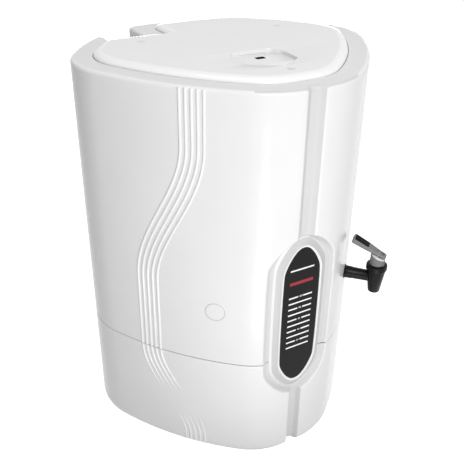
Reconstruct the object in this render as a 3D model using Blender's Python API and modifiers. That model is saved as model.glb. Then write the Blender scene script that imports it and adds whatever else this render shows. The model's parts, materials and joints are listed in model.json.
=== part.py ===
"""Storage reservoir of a laboratory water purification system, in metres, +Z up.

The front, with the level display, faces -Y. The tap is on the right front side, its blanked twin
on the left front side, and the hose pocket in the rear left corner of the rim.
"""

import math

import bmesh
import bpy
from mathutils import Matrix, Vector

# Casing
WIDTH = 0.376
DEPTH = 0.337
RIM_Z = 0.493
SEAM_Z = 0.151
SEAM_GAP = 0.0008
FOOT_RISE = 0.003
WALL = 0.004
FLOOR = 0.004
RIM_PLATE = 0.006
BASE_EDGE = 0.012
TONGUE_RISE = 0.008
NOSE_WALL = 0.014
GAP = 0.0003
OVERRUN = 0.02
MERGE = 0.000001

# Half plan, from the middle of the front: a straight, then arcs of radius (share of the width)
# and turn (degrees). The last straight runs back to the middle of the rear.
FRONT_STRAIGHT_SHARE = 0.030
PLAN_ARC_SHARES = ((0.248, 36.6), (0.949, 24.7), (0.176, 61.9), (0.647, 19.5), (0.351, 37.3))
PLAN_ARC_STEPS = (5, 4, 7, 3, 5)

# Channel down the front
CHANNEL_TOP_WIDTH = 0.022
CHANNEL_FLOOR_WIDTH = 0.008
CHANNEL_DEPTH = 0.006
FOOT_CHANNEL_WIDTH = 0.015
FOOT_CHANNEL_DEPTH = 0.009

# Level display and its sunk collar
COLLAR_WIDTH = 0.100
COLLAR_TOP_Z = 0.325
COLLAR_BOTTOM_Z = 0.094
COLLAR_DEPTH = 0.010
BEZEL_WIDTH = 0.0745
BEZEL_TOP_GAP = 0.003
BEZEL_BOTTOM_GAP = 0.005
BEZEL_SUNK = 0.0035
WINDOW_WIDTH = 0.0508
WINDOW_TOP_GAP = 0.0142
WINDOW_BOTTOM_GAP = 0.0155
WINDOW_THICK = 0.002
WINDOW_SUNK = 0.001
GUIDE_THICK = 0.0014
BOARD_THICK = 0.0016
BAR_LENGTH = 0.0325
BAR_HEIGHT = 0.0019
ALARM_HEIGHT = 0.0042
BAR_BREAK = 0.007
TOP_BAR_GAP = 0.029
ALARM_BAR_GAP = 0.018
SCALE_TOP_GAP = 0.020
SCALE_LOW_GAP = 0.053
SCALE_PITCH = 0.00815
LEAD_HOLE_DROP = 0.110
LEAD_HOLE_RADIUS = 0.003

# Six-sided outlines of the display: (share of half width, share of height from the bottom)
SIX_SIDED_SHARES = (
    (0.00, 0.0), (0.30, 0.012), (0.62, 0.060), (0.90, 0.130), (1.00, 0.185),
    (1.00, 0.815), (0.90, 0.870), (0.62, 0.940), (0.30, 0.988), (0.00, 1.0),
)

# Wave ribs on the left front side. Places are measured round the plan from the front's middle.
RIB_COUNT = 5
RIB_PITCH = 0.0066
RIB_RADIUS = 0.0022
RIB_SUNK = 0.0004
RIB_UPPER_PLACE = 0.132
RIB_LOWER_PLACE = 0.193
RIB_FOOT_PLACE = 0.134
WAVE_TOP_Z = 0.428
WAVE_LOW_Z = 0.255
WAVE_BACK_Z = 0.152
WAVE_FOOT_Z = 0.018
RIB_STEP = 0.017
RIB_FADE_Z = 0.090
RIB_RETURN_Z = 0.052
RIB_FADE_LENGTH = 0.020
RIB_END = 0.0006

# Lid
LID_INSET = 0.026
LID_RISE = 0.006
LID_REBATE = 0.0025
LID_EDGE = 0.012
LID_LEDGE = 0.009
LID_GAP = 0.001
LID_PLUG = 0.009
LID_SCREW_SIDE_INSET = 0.0935
LID_SCREW_REAR_INSET = 0.1105
LID_SCREW_NECK_GAP = 0.0125
LID_SCREW_RADIUS = 0.0035
LID_SCREW_SHANK = 0.0018
LID_SCREW_HEAD = 0.0015
LID_SCREW_LENGTH = 0.022

# Hose pocket in the rear left corner
POCKET_LEFT_SHARE = 0.617
POCKET_WIDTH = 0.046
POCKET_INNER_WIDTH = 0.066
POCKET_FRONT_INSET = 0.0775
POCKET_CURVE_INSET = 0.0345
POCKET_DEEP = 0.050
LID_CUT_SPAN = 0.006
LID_CUT_ROUND = 0.014
TAIL_SIDE_GAP = 0.011
TAIL_FRONT_GAP = 0.013
TAIL_PITCH = 0.020
TAIL_ROW_PITCH = 0.018
TAIL_RADIUS = 0.0048
TAIL_BARB = 0.0007
TAIL_BORE = 0.0030
TAIL_RISE = 0.022
TAIL_FLANGE = 0.0075
TAIL_FLANGE_THICK = 0.003
TAIL_SHANK = 0.0042
TAIL_BARBS = 2
TAIL_CREST_SHARE = 0.6

# Vent in the lid
VENT_NECK_GAP = 0.039
VENT_WIDTH = 0.066
VENT_SUNK = 0.0035
VENT_PLATE = 0.0052
VENT_SLOT_WIDTH = 0.012
VENT_SLOT_DEPTH = 0.008
VENT_SLOT_Y = 0.0085
FILTER_FLANGE = 0.025
FILTER_FLANGE_THICK = 0.0026
FILTER_RADIUS = 0.021
FILTER_DEEP = 0.072
FILTER_CORE = 0.009
VENT_SEAL_THICK = 0.0015

# The vent's outline, pointed to the front, in shares of half its width
VENT_OUTLINE_SHARES = (
    (0.0, -1.15), (0.97, -0.53), (1.0, 0.48), (0.74, 0.93), (-0.74, 0.93), (-1.0, 0.48), (-0.97, -0.53),
)

# Tank
TANK_INSET = 0.014
TANK_WALL = 0.003
TANK_NOSE_INSET = 0.0305
TANK_FLOOR_Z = 0.100
TANK_SEAT = 0.012
TANK_POCKET_GAP = 0.017
TANK_SHOULDER = 0.011
TANK_JOINT_DROP = 0.009
NECK_SIDE_INSET = 0.083
NECK_FRONT_INSET = 0.0635
NECK_REAR_INSET = 0.1035
SUMP_Y = 0.010
SUMP_RADIUS = 0.026
SUMP_BOTTOM_Z = 0.047
SUMP_RISE = 0.009
SEAL_THICK = 0.0034
POST_RADIUS = 0.006
FIN_THICK = 0.004
FIN_PLACE_SHARES = (0.173, 0.419, 0.801)

# Tap, in its own frame: X outwards from the wall, Z up, origin on the wall
TAP_SIDE = 6
TAP_SIDE_END = 0.0124
TAP_Z = 0.226
TAP_REACH = 0.040
SHANK_ROOT = 0.0085
SHANK_TIP = 0.0072
SHANK_THREAD = 0.0077
SHANK_BORE = 0.0045
SHANK_INSIDE = 0.031
BARREL_RADIUS = 0.0132
BARREL_TIP = 0.0072
BARREL_TOP = 0.0195
BARREL_BOTTOM = 0.0205
BARREL_BORE = 0.0082
SEAT_RISE = 0.007
SPOUT_RADIUS = 0.0045
BONNET_RADIUS = 0.0088
BONNET_RISE = 0.0135
BONNET_PLUG = 0.007
BONNET_SLOPE = math.radians(24)
STEM_RADIUS = 0.0020
STEM_HEAD = 0.0026
CUP_RADIUS = 0.0066
CUP_HEIGHT = 0.009
PIVOT_RISE = 0.034
LEVER_LENGTH = 0.047
LEVER_HEEL = 0.0105
LEVER_THICK = 0.0048
LEVER_WIDTH = 0.0165
LEVER_HEEL_WIDTH = 0.0105
LEVER_SLOPE = math.radians(24)
LEVER_TRAVEL = math.radians(30)
PIN_RADIUS = 0.0012
NUT_RADIUS = 0.0135
NUT_THICK = 0.007
TAP_SEAL_THICK = 0.002
RUN_GAP = 0.0004

# Blank cover at the tap's twin place
PLUG_RADIUS = 0.0130
PLUG_LIP = 0.002
PLUG_LIP_THICK = 0.002

# Drain in the rear of the base
RECESS_WIDTH = 0.096
RECESS_LOW_Z = 0.016
RECESS_HIGH_Z = 0.074
RECESS_DEEP = 0.034
DRAIN_Z = 0.034
PIPE_RADIUS = 0.006
PIPE_WALL = 0.0015
PIPE_Y = 0.023
VALVE_RADIUS = 0.009
VALVE_LENGTH = 0.018
COCK_RADIUS = 0.005
COCK_BORE = 0.0032
COCK_Y_SHARE = 0.5
COCK_STEM_RISE = 0.004
DRAIN_LEVER_LENGTH = 0.019
DRAIN_LEVER_WIDTH = 0.008
DRAIN_LEVER_THICK = 0.004
SENSOR_Y = -0.005
SENSOR_RADIUS = 0.008
SENSOR_HEIGHT = 0.015
SENSOR_STUB = 0.0037
LEAD_RADIUS = 0.0014
LEAD_FLOOR_Z = 0.0105
LEAD_RISE_INSET = 0.0225
LEAD_RUN_SHARES = (0.12, 0.30, 0.45, 0.85, 0.96)

# Feet and seam screws
FOOT_RADIUS = 0.013
FOOT_SIDE_INSET = 0.073
FOOT_REAR_INSET = 0.1065
FOOT_FRONT_X = 0.050
FOOT_FRONT_INSET = 0.0635
FOOT_STUD = 0.004
FOOT_STUD_RISE = 0.006
SEAM_SCREW_X = 0.030
SEAM_SCREW_RISE = 0.0042
SEAM_SCREW_RADIUS = 0.0032
SEAM_SCREW_SHANK = 0.0015
SEAM_SCREW_HEAD = 0.0012

FINE = 24
COARSE = 14
MITRE_LEAST = 0.3

HALF_WIDTH = WIDTH / 2
HALF_DEPTH = DEPTH / 2
BASE_Z = FOOT_RISE
UPPER_LOW_Z = SEAM_Z + SEAM_GAP / 2
BASE_HIGH_Z = SEAM_Z - SEAM_GAP / 2
NOSE_BACK_Y = NOSE_WALL - HALF_DEPTH
COLLAR_FLOOR_Y = COLLAR_DEPTH - HALF_DEPTH
BEZEL_TOP_Z = COLLAR_TOP_Z - BEZEL_TOP_GAP
BEZEL_BOTTOM_Z = COLLAR_BOTTOM_Z + BEZEL_BOTTOM_GAP
WINDOW_TOP_Z = BEZEL_TOP_Z - WINDOW_TOP_GAP
WINDOW_BOTTOM_Z = BEZEL_BOTTOM_Z + WINDOW_BOTTOM_GAP
TOP_BAR_Z = WINDOW_TOP_Z - TOP_BAR_GAP
ALARM_BAR_Z = TOP_BAR_Z - ALARM_BAR_GAP
SCALE_TOP_Z = ALARM_BAR_Z - SCALE_TOP_GAP
SCALE_BARS = 1 + round((SCALE_TOP_Z - WINDOW_BOTTOM_Z - SCALE_LOW_GAP) / SCALE_PITCH)
LEAD_HOLE_Z = COLLAR_TOP_Z - LEAD_HOLE_DROP
LID_LOW_Z = RIM_Z - LID_REBATE + GAP
LID_TOP_Z = RIM_Z + LID_RISE
LID_PLUG_Z = LID_LOW_Z - LID_PLUG + LID_REBATE
NECK_TOP_Z = LID_PLUG_Z - SEAL_THICK - 2 * GAP
POCKET_FLOOR_Z = RIM_Z - POCKET_DEEP
POCKET_LEFT_X = -POCKET_LEFT_SHARE * HALF_WIDTH
POCKET_RIGHT_X = POCKET_LEFT_X + POCKET_WIDTH
POCKET_INNER_X = POCKET_LEFT_X + POCKET_INNER_WIDTH
POCKET_FRONT_Y = HALF_DEPTH - POCKET_FRONT_INSET
POCKET_CURVE_Y = HALF_DEPTH - POCKET_CURVE_INSET
LID_CUT_X = POCKET_INNER_X + LID_CUT_SPAN
TAIL_ROW_X = POCKET_LEFT_X + TAIL_SIDE_GAP
TAIL_ROW_Y = POCKET_FRONT_Y + TAIL_FRONT_GAP
HOSE_PLACES = (
    ("inlet_fitting", TAIL_ROW_X, TAIL_ROW_Y),
    ("return_fitting", TAIL_ROW_X + TAIL_PITCH, TAIL_ROW_Y),
    ("overflow_fitting", TAIL_ROW_X + TAIL_PITCH / 2, TAIL_ROW_Y + TAIL_ROW_PITCH),
)
TANK_FRONT_Y = TANK_NOSE_INSET - HALF_DEPTH
TANK_TOP_Z = POCKET_FLOOR_Z - TANK_POCKET_GAP
TANK_JOINT_Z = TANK_TOP_Z - TANK_SHOULDER - TANK_JOINT_DROP
NECK_FRONT_Y = NECK_FRONT_INSET - HALF_DEPTH
NECK_WIDTH = WIDTH - 2 * NECK_SIDE_INSET
NECK_DEPTH = HALF_DEPTH - NECK_REAR_INSET - NECK_FRONT_Y
NECK_Y = NECK_FRONT_Y + NECK_DEPTH / 2
VENT_Y = NECK_FRONT_Y + VENT_NECK_GAP
LID_SCREW_X = HALF_WIDTH - LID_SCREW_SIDE_INSET
LID_SCREW_REAR_Y = HALF_DEPTH - LID_SCREW_REAR_INSET
LID_SCREW_PLACES = (
    (LID_SCREW_X, LID_SCREW_REAR_Y),
    (-LID_SCREW_X, LID_SCREW_REAR_Y),
    (0.0, NECK_FRONT_Y - LID_SCREW_NECK_GAP),
)
LEAD_RISE_Y = LEAD_RISE_INSET - HALF_DEPTH
FOOT_REAR_X = HALF_WIDTH - FOOT_SIDE_INSET
FOOT_REAR_Y = HALF_DEPTH - FOOT_REAR_INSET
FOOT_FRONT_Y = FOOT_FRONT_INSET - HALF_DEPTH
FOOT_PLACES = (
    (FOOT_REAR_X, FOOT_REAR_Y),
    (-FOOT_REAR_X, FOOT_REAR_Y),
    (FOOT_FRONT_X, FOOT_FRONT_Y),
    (-FOOT_FRONT_X, FOOT_FRONT_Y),
)
VENT_FLOOR_Z = LID_TOP_Z - VENT_SUNK - VENT_PLATE - GAP


def clear_scene():
    """Removes what the startup file holds and returns the two collections, for parts and cutters."""
    for obj in list(bpy.data.objects):
        bpy.data.objects.remove(obj, do_unlink=True)
    parts = bpy.data.collections.new("water_reservoir")
    cutters = bpy.data.collections.new("cutters")
    for collection in (parts, cutters):
        bpy.context.scene.collection.children.link(collection)
    cutters.hide_render = True
    return parts, cutters


PARTS, CUTTERS = clear_scene()


def finish(name, colour, roughness, metallic=0.0):
    """A plain Principled material."""
    material = bpy.data.materials.new(name)
    material.use_nodes = True
    shader = material.node_tree.nodes["Principled BSDF"]
    shader.inputs["Base Color"].default_value = (*colour, 1.0)
    shader.inputs["Roughness"].default_value = roughness
    shader.inputs["Metallic"].default_value = metallic
    material.diffuse_color = (*colour, 1.0)
    return material


WHITE = finish("white_casing", (0.86, 0.86, 0.86), 0.22)
LID_WHITE = finish("lid_white", (0.80, 0.80, 0.80), 0.25)
TANK = finish("tank_natural", (0.78, 0.80, 0.80), 0.45)
BLACK = finish("black_moulding", (0.02, 0.02, 0.02), 0.35)
PANEL = finish("display_black", (0.03, 0.03, 0.03), 0.20)
BAR_WHITE = finish("bar_white", (0.90, 0.90, 0.90), 0.40)
BAR_RED = finish("bar_red", (0.30, 0.02, 0.03), 0.40)
GREY = finish("tap_grey", (0.20, 0.20, 0.20), 0.35)
RUBBER = finish("rubber", (0.03, 0.03, 0.03), 0.80)
SILICONE = finish("silicone", (0.60, 0.60, 0.58), 0.60)
STEEL = finish("screw_steel", (0.60, 0.60, 0.60), 0.30, 1.0)
BOARD = finish("board_green", (0.02, 0.16, 0.06), 0.50)
BLUE = finish("fitting_blue", (0.05, 0.12, 0.35), 0.40)


def keep(obj, material, parent, smooth=True):
    """Puts a finished piece in the parts collection under its parent."""
    PARTS.objects.link(obj)
    obj.parent = parent
    obj.data.materials.clear()
    obj.data.materials.append(material)
    if smooth:
        obj.data.shade_smooth()
        obj.data.set_sharp_from_angle(angle=math.radians(30))
    return obj


def helper(obj, parent):
    """Puts a cutter, or a shape to be joined, in the cutters collection."""
    CUTTERS.objects.link(obj)
    obj.parent = parent
    obj.hide_render = True
    obj.display_type = "WIRE"
    return obj


def join(target, other, operation):
    """Adds a Boolean to the target with a helper shape."""
    modifier = target.modifiers.new(other.name, "BOOLEAN")
    modifier.operation = operation
    modifier.object = other
    modifier.solver = "EXACT"
    return target


def cut(target, *others):
    """Cuts each helper from the target."""
    for other in others:
        join(target, other, "DIFFERENCE")


def weld(target):
    """Merges the points that Booleans leave side by side."""
    modifier = target.modifiers.new("weld", "WELD")
    modifier.merge_threshold = 10 * MERGE


def add(target, *others):
    """Joins each helper to the target."""
    for other in others:
        join(target, other, "UNION")


def mesh_object(name, shape):
    """An object from a bmesh."""
    mesh = bpy.data.meshes.new(name)
    bmesh.ops.recalc_face_normals(shape, faces=shape.faces)
    shape.to_mesh(mesh)
    shape.free()
    return bpy.data.objects.new(name, mesh)


def loft(name, rings):
    """A closed solid through rings of equal count, with a cap on the first and on the last."""
    shape = bmesh.new()
    rows = [[shape.verts.new(point) for point in ring] for ring in rings]
    for lower, upper in zip(rows, rows[1:]):
        for index in range(len(lower)):
            after = (index + 1) % len(lower)
            shape.faces.new((lower[index], lower[after], upper[after], upper[index]))
    shape.faces.new(reversed(rows[0]))
    shape.faces.new(rows[-1])
    return mesh_object(name, shape)


def box(name, low, high):
    """A block between two corners."""
    shape = bmesh.new()
    middle = (Vector(low) + Vector(high)) / 2
    size = Vector(high) - Vector(low)
    place = Matrix.Translation(middle) @ Matrix.Diagonal((*size, 1.0))
    bmesh.ops.create_cube(shape, size=1.0, matrix=place)
    return mesh_object(name, shape)


def rod(name, radius, low, high, segments=COARSE, centre=(0.0, 0.0), tip=None):
    """An upright cylinder, or a cone where it has a tip radius."""
    shape = bmesh.new()
    place = Matrix.Translation((*centre, (low + high) / 2))
    top = radius if tip is None else tip
    bmesh.ops.create_cone(
        shape, cap_ends=True, segments=segments, radius1=radius, radius2=top, depth=high - low, matrix=place
    )
    return mesh_object(name, shape)


def turned(name, profile, steps=FINE, closed=False):
    """A profile of (radius, height) turned about Z. It runs down the outer side, top to bottom."""
    mesh = bpy.data.meshes.new(name)
    edges = [(index, index + 1) for index in range(len(profile) - 1)]
    if closed:
        edges.append((len(profile) - 1, 0))
    mesh.from_pydata([(radius, 0.0, height) for radius, height in profile], edges, [])
    obj = bpy.data.objects.new(name, mesh)
    screw = obj.modifiers.new("turn", "SCREW")
    screw.steps = steps
    screw.render_steps = steps
    screw.use_merge_vertices = True
    screw.merge_threshold = 10 * MERGE
    return obj


def solid_of(curve):
    """The mesh object of a curve, its caps welded on. The curve is removed."""
    bpy.context.scene.collection.objects.link(curve)
    bpy.context.view_layer.update()
    graph = bpy.context.evaluated_depsgraph_get()
    mesh = bpy.data.meshes.new_from_object(curve.evaluated_get(graph))
    shape = bmesh.new()
    shape.from_mesh(mesh)
    bmesh.ops.remove_doubles(shape, verts=shape.verts, dist=MERGE)
    bmesh.ops.recalc_face_normals(shape, faces=shape.faces)
    if shape.calc_volume(signed=True) < 0:
        bmesh.ops.reverse_faces(shape, faces=shape.faces)
    shape.to_mesh(mesh)
    shape.free()
    name = curve.name
    place = curve.matrix_world.copy()
    bpy.data.objects.remove(curve, do_unlink=True)
    solid = bpy.data.objects.new(name, mesh)
    solid.matrix_world = place
    return solid


def plate(name, loops, low, high):
    """A flat outline, with any holes in it, made solid between two heights."""
    curve = bpy.data.curves.new(name, "CURVE")
    curve.dimensions = "2D"
    curve.fill_mode = "BOTH"
    curve.extrude = (high - low) / 2
    for loop in loops:
        spline = curve.splines.new("POLY")
        spline.points.add(len(loop) - 1)
        spline.use_cyclic_u = True
        for point, (x, y) in zip(spline.points, loop):
            point.co = (x, y, 0.0, 1.0)
    solid = solid_of(bpy.data.objects.new(name, curve))
    solid.data.transform(Matrix.Translation((0.0, 0.0, (low + high) / 2)))
    return solid


def tubes(name, paths, radius, sides=1, filled=True):
    """One mesh of round tubes along paths of (point, share of the radius)."""
    curve = bpy.data.curves.new(name, "CURVE")
    curve.dimensions = "3D"
    curve.bevel_depth = radius
    curve.bevel_resolution = sides
    curve.use_fill_caps = filled
    for path in paths:
        spline = curve.splines.new("POLY")
        spline.points.add(len(path) - 1)
        for point, (place, share) in zip(spline.points, path):
            point.co = (*place, 1.0)
            point.radius = share
    return solid_of(bpy.data.objects.new(name, curve))


def circle(radius, centre=(0.0, 0.0), segments=COARSE):
    """Points round a circle, anticlockwise."""
    angles = [2 * math.pi * index / segments for index in range(segments)]
    return [(centre[0] + radius * math.cos(a), centre[1] + radius * math.sin(a)) for a in angles]


def plan_loop():
    """The casing's plan, anticlockwise from the middle of the front."""
    x, y, heading = 0.0, 0.0, 0.0
    points = [(x, y)]
    x += FRONT_STRAIGHT_SHARE
    points.append((x, y))
    for (radius, turn), steps in zip(PLAN_ARC_SHARES, PLAN_ARC_STEPS):
        step = math.radians(turn) / steps
        chord = 2 * radius * math.sin(step / 2)
        for _ in range(steps):
            x += chord * math.cos(heading + step / 2)
            y += chord * math.sin(heading + step / 2)
            heading += step
            points.append((x, y))
    points.append((0.0, y))
    across = HALF_WIDTH / max(x for x, _ in points)
    along = DEPTH / y
    half = [(x * across, y * along - HALF_DEPTH) for x, y in points]
    return half + [(-x, y) for x, y in reversed(half[1:-1])]


def offset_loop(loop, inset):
    """The loop moved inwards by a mitred offset."""
    moved = []
    for index, point in enumerate(loop):
        before = Vector(loop[index - 1])
        here = Vector(point)
        after = Vector(loop[(index + 1) % len(loop)])
        into = (here - before).normalized()
        out = (after - here).normalized()
        normal = (Vector((-into.y, into.x)) + Vector((-out.y, out.x))).normalized()
        reach = inset / max(normal.dot(Vector((-into.y, into.x))), MITRE_LEAST)
        moved.append(tuple(here + normal * reach))
    return moved


def clip_front(loop, least_y):
    """The loop with a flat front. Corners in front of it slide back along their sides onto it."""
    clipped = []
    for index, (x, y) in enumerate(loop):
        if y < least_y:
            for other_x, other_y in (loop[index - 1], loop[(index + 1) % len(loop)]):
                if other_y > least_y:
                    x += (other_x - x) * (least_y - y) / (other_y - y)
            y = least_y
        clipped.append((x, y))
    return clipped


def raise_loop(loop, height):
    """The loop as points at one height."""
    return [(x, y, height) for x, y in loop]


def plan_place(corner):
    """The distance round the plan from the front's middle to one of its corners."""
    lengths = [math.dist(start, end) for start, end in zip(PLAN[:corner], PLAN[1 : corner + 1])]
    return sum(lengths)


PLAN = plan_loop()
TAP_PLACE = plan_place(TAP_SIDE + 1) - TAP_SIDE_END


def casing_ring(inset, height):
    """A ring of the casing. Inner rings have the flat back of the thick nose."""
    loop = offset_loop(PLAN, inset)
    if inset >= WALL:
        loop = clip_front(loop, NOSE_BACK_Y + inset - WALL)
    return raise_loop(loop, height)


def on_plan(place, rise=0.0):
    """The point at a distance round the plan from the front's middle, and the wall's outward normal.

    A positive place is on the right, a negative one on the left.
    """
    side = math.copysign(1.0, place)
    left = abs(place)
    half = [Vector((side * x, y)) for x, y in PLAN[: len(PLAN) // 2 + 1]]
    for start, end in zip(half, half[1:]):
        length = (end - start).length
        if left <= length:
            break
        left -= length
    along = (end - start).normalized()
    normal = Vector((along.y, -along.x)) * side
    return start + along * left + normal * rise, normal


def smooth(share):
    """0 to 1 with level ends."""
    share = min(max(share, 0.0), 1.0)
    return share * share * (3 - 2 * share)


def wave_place(height):
    """The distance round the plan at which the rib bundle's middle line is, at a height."""
    if height > WAVE_BACK_Z:
        share = smooth((WAVE_TOP_Z - height) / (WAVE_TOP_Z - WAVE_LOW_Z))
        return RIB_UPPER_PLACE + (RIB_LOWER_PLACE - RIB_UPPER_PLACE) * share
    share = smooth((WAVE_BACK_Z - height) / (WAVE_BACK_Z - WAVE_FOOT_Z))
    return RIB_LOWER_PLACE + (RIB_FOOT_PLACE - RIB_LOWER_PLACE) * share


def rib_paths(high, low, fade_low=0.0, fade_high=0.0):
    """Paths of the five ribs between two heights, faded out over a length at either end."""
    count = max(2, round((high - low) / RIB_STEP))
    paths = []
    for rib in range(RIB_COUNT):
        aside = (rib - (RIB_COUNT - 1) / 2) * RIB_PITCH
        path = []
        for index in range(count + 1):
            height = high - (high - low) * index / count
            step = RIB_STEP / 2
            slope = (wave_place(height + step) - wave_place(height - step)) / (2 * step)
            place = wave_place(height) + aside * math.hypot(1.0, slope)
            share = 1.0
            if fade_low:
                share = min(share, (height - low) / fade_low)
            if fade_high:
                share = min(share, (high - height) / fade_high)
            sunk = RIB_SUNK + RIB_RADIUS * (1 - share)
            point, _ = on_plan(-place, -sunk)
            path.append(((point.x, point.y, height), 1.0))
        paths.append(path)
    return paths


def six_sided(width, bottom, top):
    """The display's six-sided outline in X and Z, anticlockwise."""
    right = [(width / 2 * x, bottom + (top - bottom) * z) for x, z in SIX_SIDED_SHARES]
    return right + [(-x, z) for x, z in reversed(right[1:-1])]


def upright_plate(name, loops, front_y, back_y):
    """A plate of X and Z outlines standing between two places along Y."""
    solid = plate(name, loops, -back_y, -front_y)
    solid.data.transform(Matrix.Rotation(math.pi / 2, 4, "X"))
    return solid


def channel_loop(top_width, floor_width, depth):
    """Plan outline of the front channel's cutter."""
    front = -HALF_DEPTH
    return [
        (-top_width / 2, front - OVERRUN),
        (top_width / 2, front - OVERRUN),
        (top_width / 2, front),
        (floor_width / 2, front + depth),
        (-floor_width / 2, front + depth),
        (-top_width / 2, front),
    ]


def lid_loop(inset):
    """The lid's outline at an inset from its own edge, with the cut for the hose pocket."""
    edge = offset_loop(PLAN, LID_INSET)
    half = len(edge) // 2
    kept = [point for point in edge[: half + 1]]
    rear_y = edge[half][1]
    corner_x = LID_CUT_X + 2 * LID_CUT_ROUND
    kept += [(x, y) for x, y in edge[half + 1 :] if y > POCKET_FRONT_Y and x > corner_x]
    centre = (LID_CUT_X + LID_CUT_ROUND, rear_y - LID_CUT_ROUND)
    for angle in (90, 120, 150, 180):
        turn = math.radians(angle)
        kept.append((centre[0] + LID_CUT_ROUND * math.cos(turn), centre[1] + LID_CUT_ROUND * math.sin(turn)))
    kept.append((LID_CUT_X, POCKET_FRONT_Y))
    left = [(x, y) for x, y in edge[half + 1 :] if x < 0]
    for start, end in zip(left, left[1:]):
        if start[1] > POCKET_FRONT_Y >= end[1]:
            share = (start[1] - POCKET_FRONT_Y) / (start[1] - end[1])
            kept.append((start[0] + (end[0] - start[0]) * share, POCKET_FRONT_Y))
    kept += [(x, y) for x, y in left if y < POCKET_FRONT_Y - LID_EDGE]
    return offset_loop(kept, inset)


def pocket_loop(inset=0.0):
    """Plan outline of the hose pocket, open to the rear. A negative inset makes it larger."""
    rear = HALF_DEPTH + OVERRUN
    middle_x = (POCKET_INNER_X + POCKET_RIGHT_X) / 2
    middle_y = (POCKET_FRONT_Y + POCKET_CURVE_Y) / 2
    loop = [
        (POCKET_LEFT_X, POCKET_FRONT_Y),
        (POCKET_INNER_X, POCKET_FRONT_Y),
        (middle_x - WALL / 2, middle_y),
        (POCKET_RIGHT_X, POCKET_CURVE_Y),
        (POCKET_RIGHT_X, rear),
        (POCKET_LEFT_X, rear),
    ]
    return offset_loop(loop, inset)


def tap_frame(stand, name, place):
    """An empty on the wall with X outwards."""
    point, normal = on_plan(place)
    frame = bpy.data.objects.new(name, None)
    PARTS.objects.link(frame)
    frame.parent = stand
    frame.location = (point.x, point.y, TAP_Z)
    frame.rotation_euler = (0.0, 0.0, math.atan2(normal.y, normal.x))
    return frame


def lay_out(obj):
    """Turns a shape made along Z so that its top points outwards, along X."""
    obj.rotation_euler = (0.0, math.pi / 2, 0.0)
    return obj


def wall_holes(stand, port, plug_port):
    """Cutters for the tap's hole and for its blanked twin."""
    tap_hole = helper(lay_out(rod("tap_hole", SHANK_THREAD + GAP, -SHANK_INSIDE, OVERRUN)), port)
    plug_hole = helper(lay_out(rod("plug_hole", PLUG_RADIUS + GAP, -TANK_INSET + GAP, OVERRUN, FINE)), plug_port)
    return tap_hole, plug_hole


def collar_cutter(stand):
    """The sunk collar round the display."""
    loop = six_sided(COLLAR_WIDTH, COLLAR_BOTTOM_Z, COLLAR_TOP_Z)
    front = -HALF_DEPTH - OVERRUN
    return helper(upright_plate("collar_cut", [loop], front, COLLAR_FLOOR_Y), stand)


def make_upper_housing(stand, collar, tap_hole, plug_hole):
    """The upper casing: wall, rim, ribs, channel, collar and hose pocket."""
    outer = [casing_ring(0.0, UPPER_LOW_Z), casing_ring(0.0, RIM_Z)]
    housing = keep(loft("upper_housing", outer), WHITE, stand)
    ribs = tubes("upper_ribs", rib_paths(RIM_Z - RIB_END, UPPER_LOW_Z + RIB_END), RIB_RADIUS)
    add(housing, helper(ribs, stand))
    cavity = loft("upper_cavity", [casing_ring(WALL, UPPER_LOW_Z - OVERRUN), casing_ring(WALL, RIM_Z - RIM_PLATE)])
    pocket_low = POCKET_FLOOR_Z - WALL
    backing = helper(plate("pocket_backing", [pocket_loop(-WALL)], pocket_low, RIM_Z), stand)
    cut(helper(cavity, stand), backing)
    above = RIM_Z + OVERRUN
    mouth_ring = lid_loop(LID_LEDGE)
    mouth = loft("mouth", [raise_loop(mouth_ring, RIM_Z - RIM_PLATE - OVERRUN), raise_loop(mouth_ring, above)])
    rebate_ring = lid_loop(-LID_GAP)
    rebate = loft("rebate", [raise_loop(rebate_ring, RIM_Z - LID_REBATE), raise_loop(rebate_ring, above)])
    pocket = plate("pocket", [pocket_loop()], POCKET_FLOOR_Z, RIM_Z + OVERRUN)
    groove = channel_loop(CHANNEL_TOP_WIDTH, CHANNEL_FLOOR_WIDTH, CHANNEL_DEPTH)
    channel = plate("upper_channel", [groove], UPPER_LOW_Z - OVERRUN, RIM_Z + OVERRUN)
    lead_hole = rod("lead_hole", LEAD_HOLE_RADIUS, -OVERRUN, OVERRUN)
    lead_hole.location = (0.0, COLLAR_FLOOR_Y, LEAD_HOLE_Z)
    lead_hole.rotation_euler = (math.pi / 2, 0.0, 0.0)
    cutters = [mouth, rebate, pocket, channel, lead_hole]
    for name, x, y in HOSE_PLACES:
        low = POCKET_FLOOR_Z - FLOOR - GAP
        cutters.append(rod(name + "_hole", TAIL_SHANK + GAP, low, POCKET_FLOOR_Z + GAP, centre=(x, y)))
    for index, side in enumerate((-1, 1)):
        cutters.append(seam_screw_hole(index, side))
    cut(housing, cavity, *[helper(cutter, stand) for cutter in cutters], collar, tap_hole, plug_hole)
    weld(housing)


def seam_screw_hole(index, side):
    """The hole of a seam screw through the rear wall and the tongue."""
    hole = turned(f"seam_screw_hole_{index + 1}", screw_profile(
        SEAM_SCREW_RADIUS + GAP, SEAM_SCREW_SHANK + GAP, SEAM_SCREW_HEAD + GAP, 2 * WALL + GAP, OVERRUN
    ), COARSE)
    hole.location = (side * SEAM_SCREW_X, HALF_DEPTH, UPPER_LOW_Z + SEAM_SCREW_RISE)
    hole.rotation_euler = (-math.pi / 2, 0.0, 0.0)
    return hole


def screw_profile(head, shank, thick, length, above=0.0):
    """A countersunk screw, or its hole, with the head's face at height zero."""
    return [(0.0, above), (head, above), (head, -thick / 2), (shank, -thick - head / 2), (shank, -length), (0.0, -length)]


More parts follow.
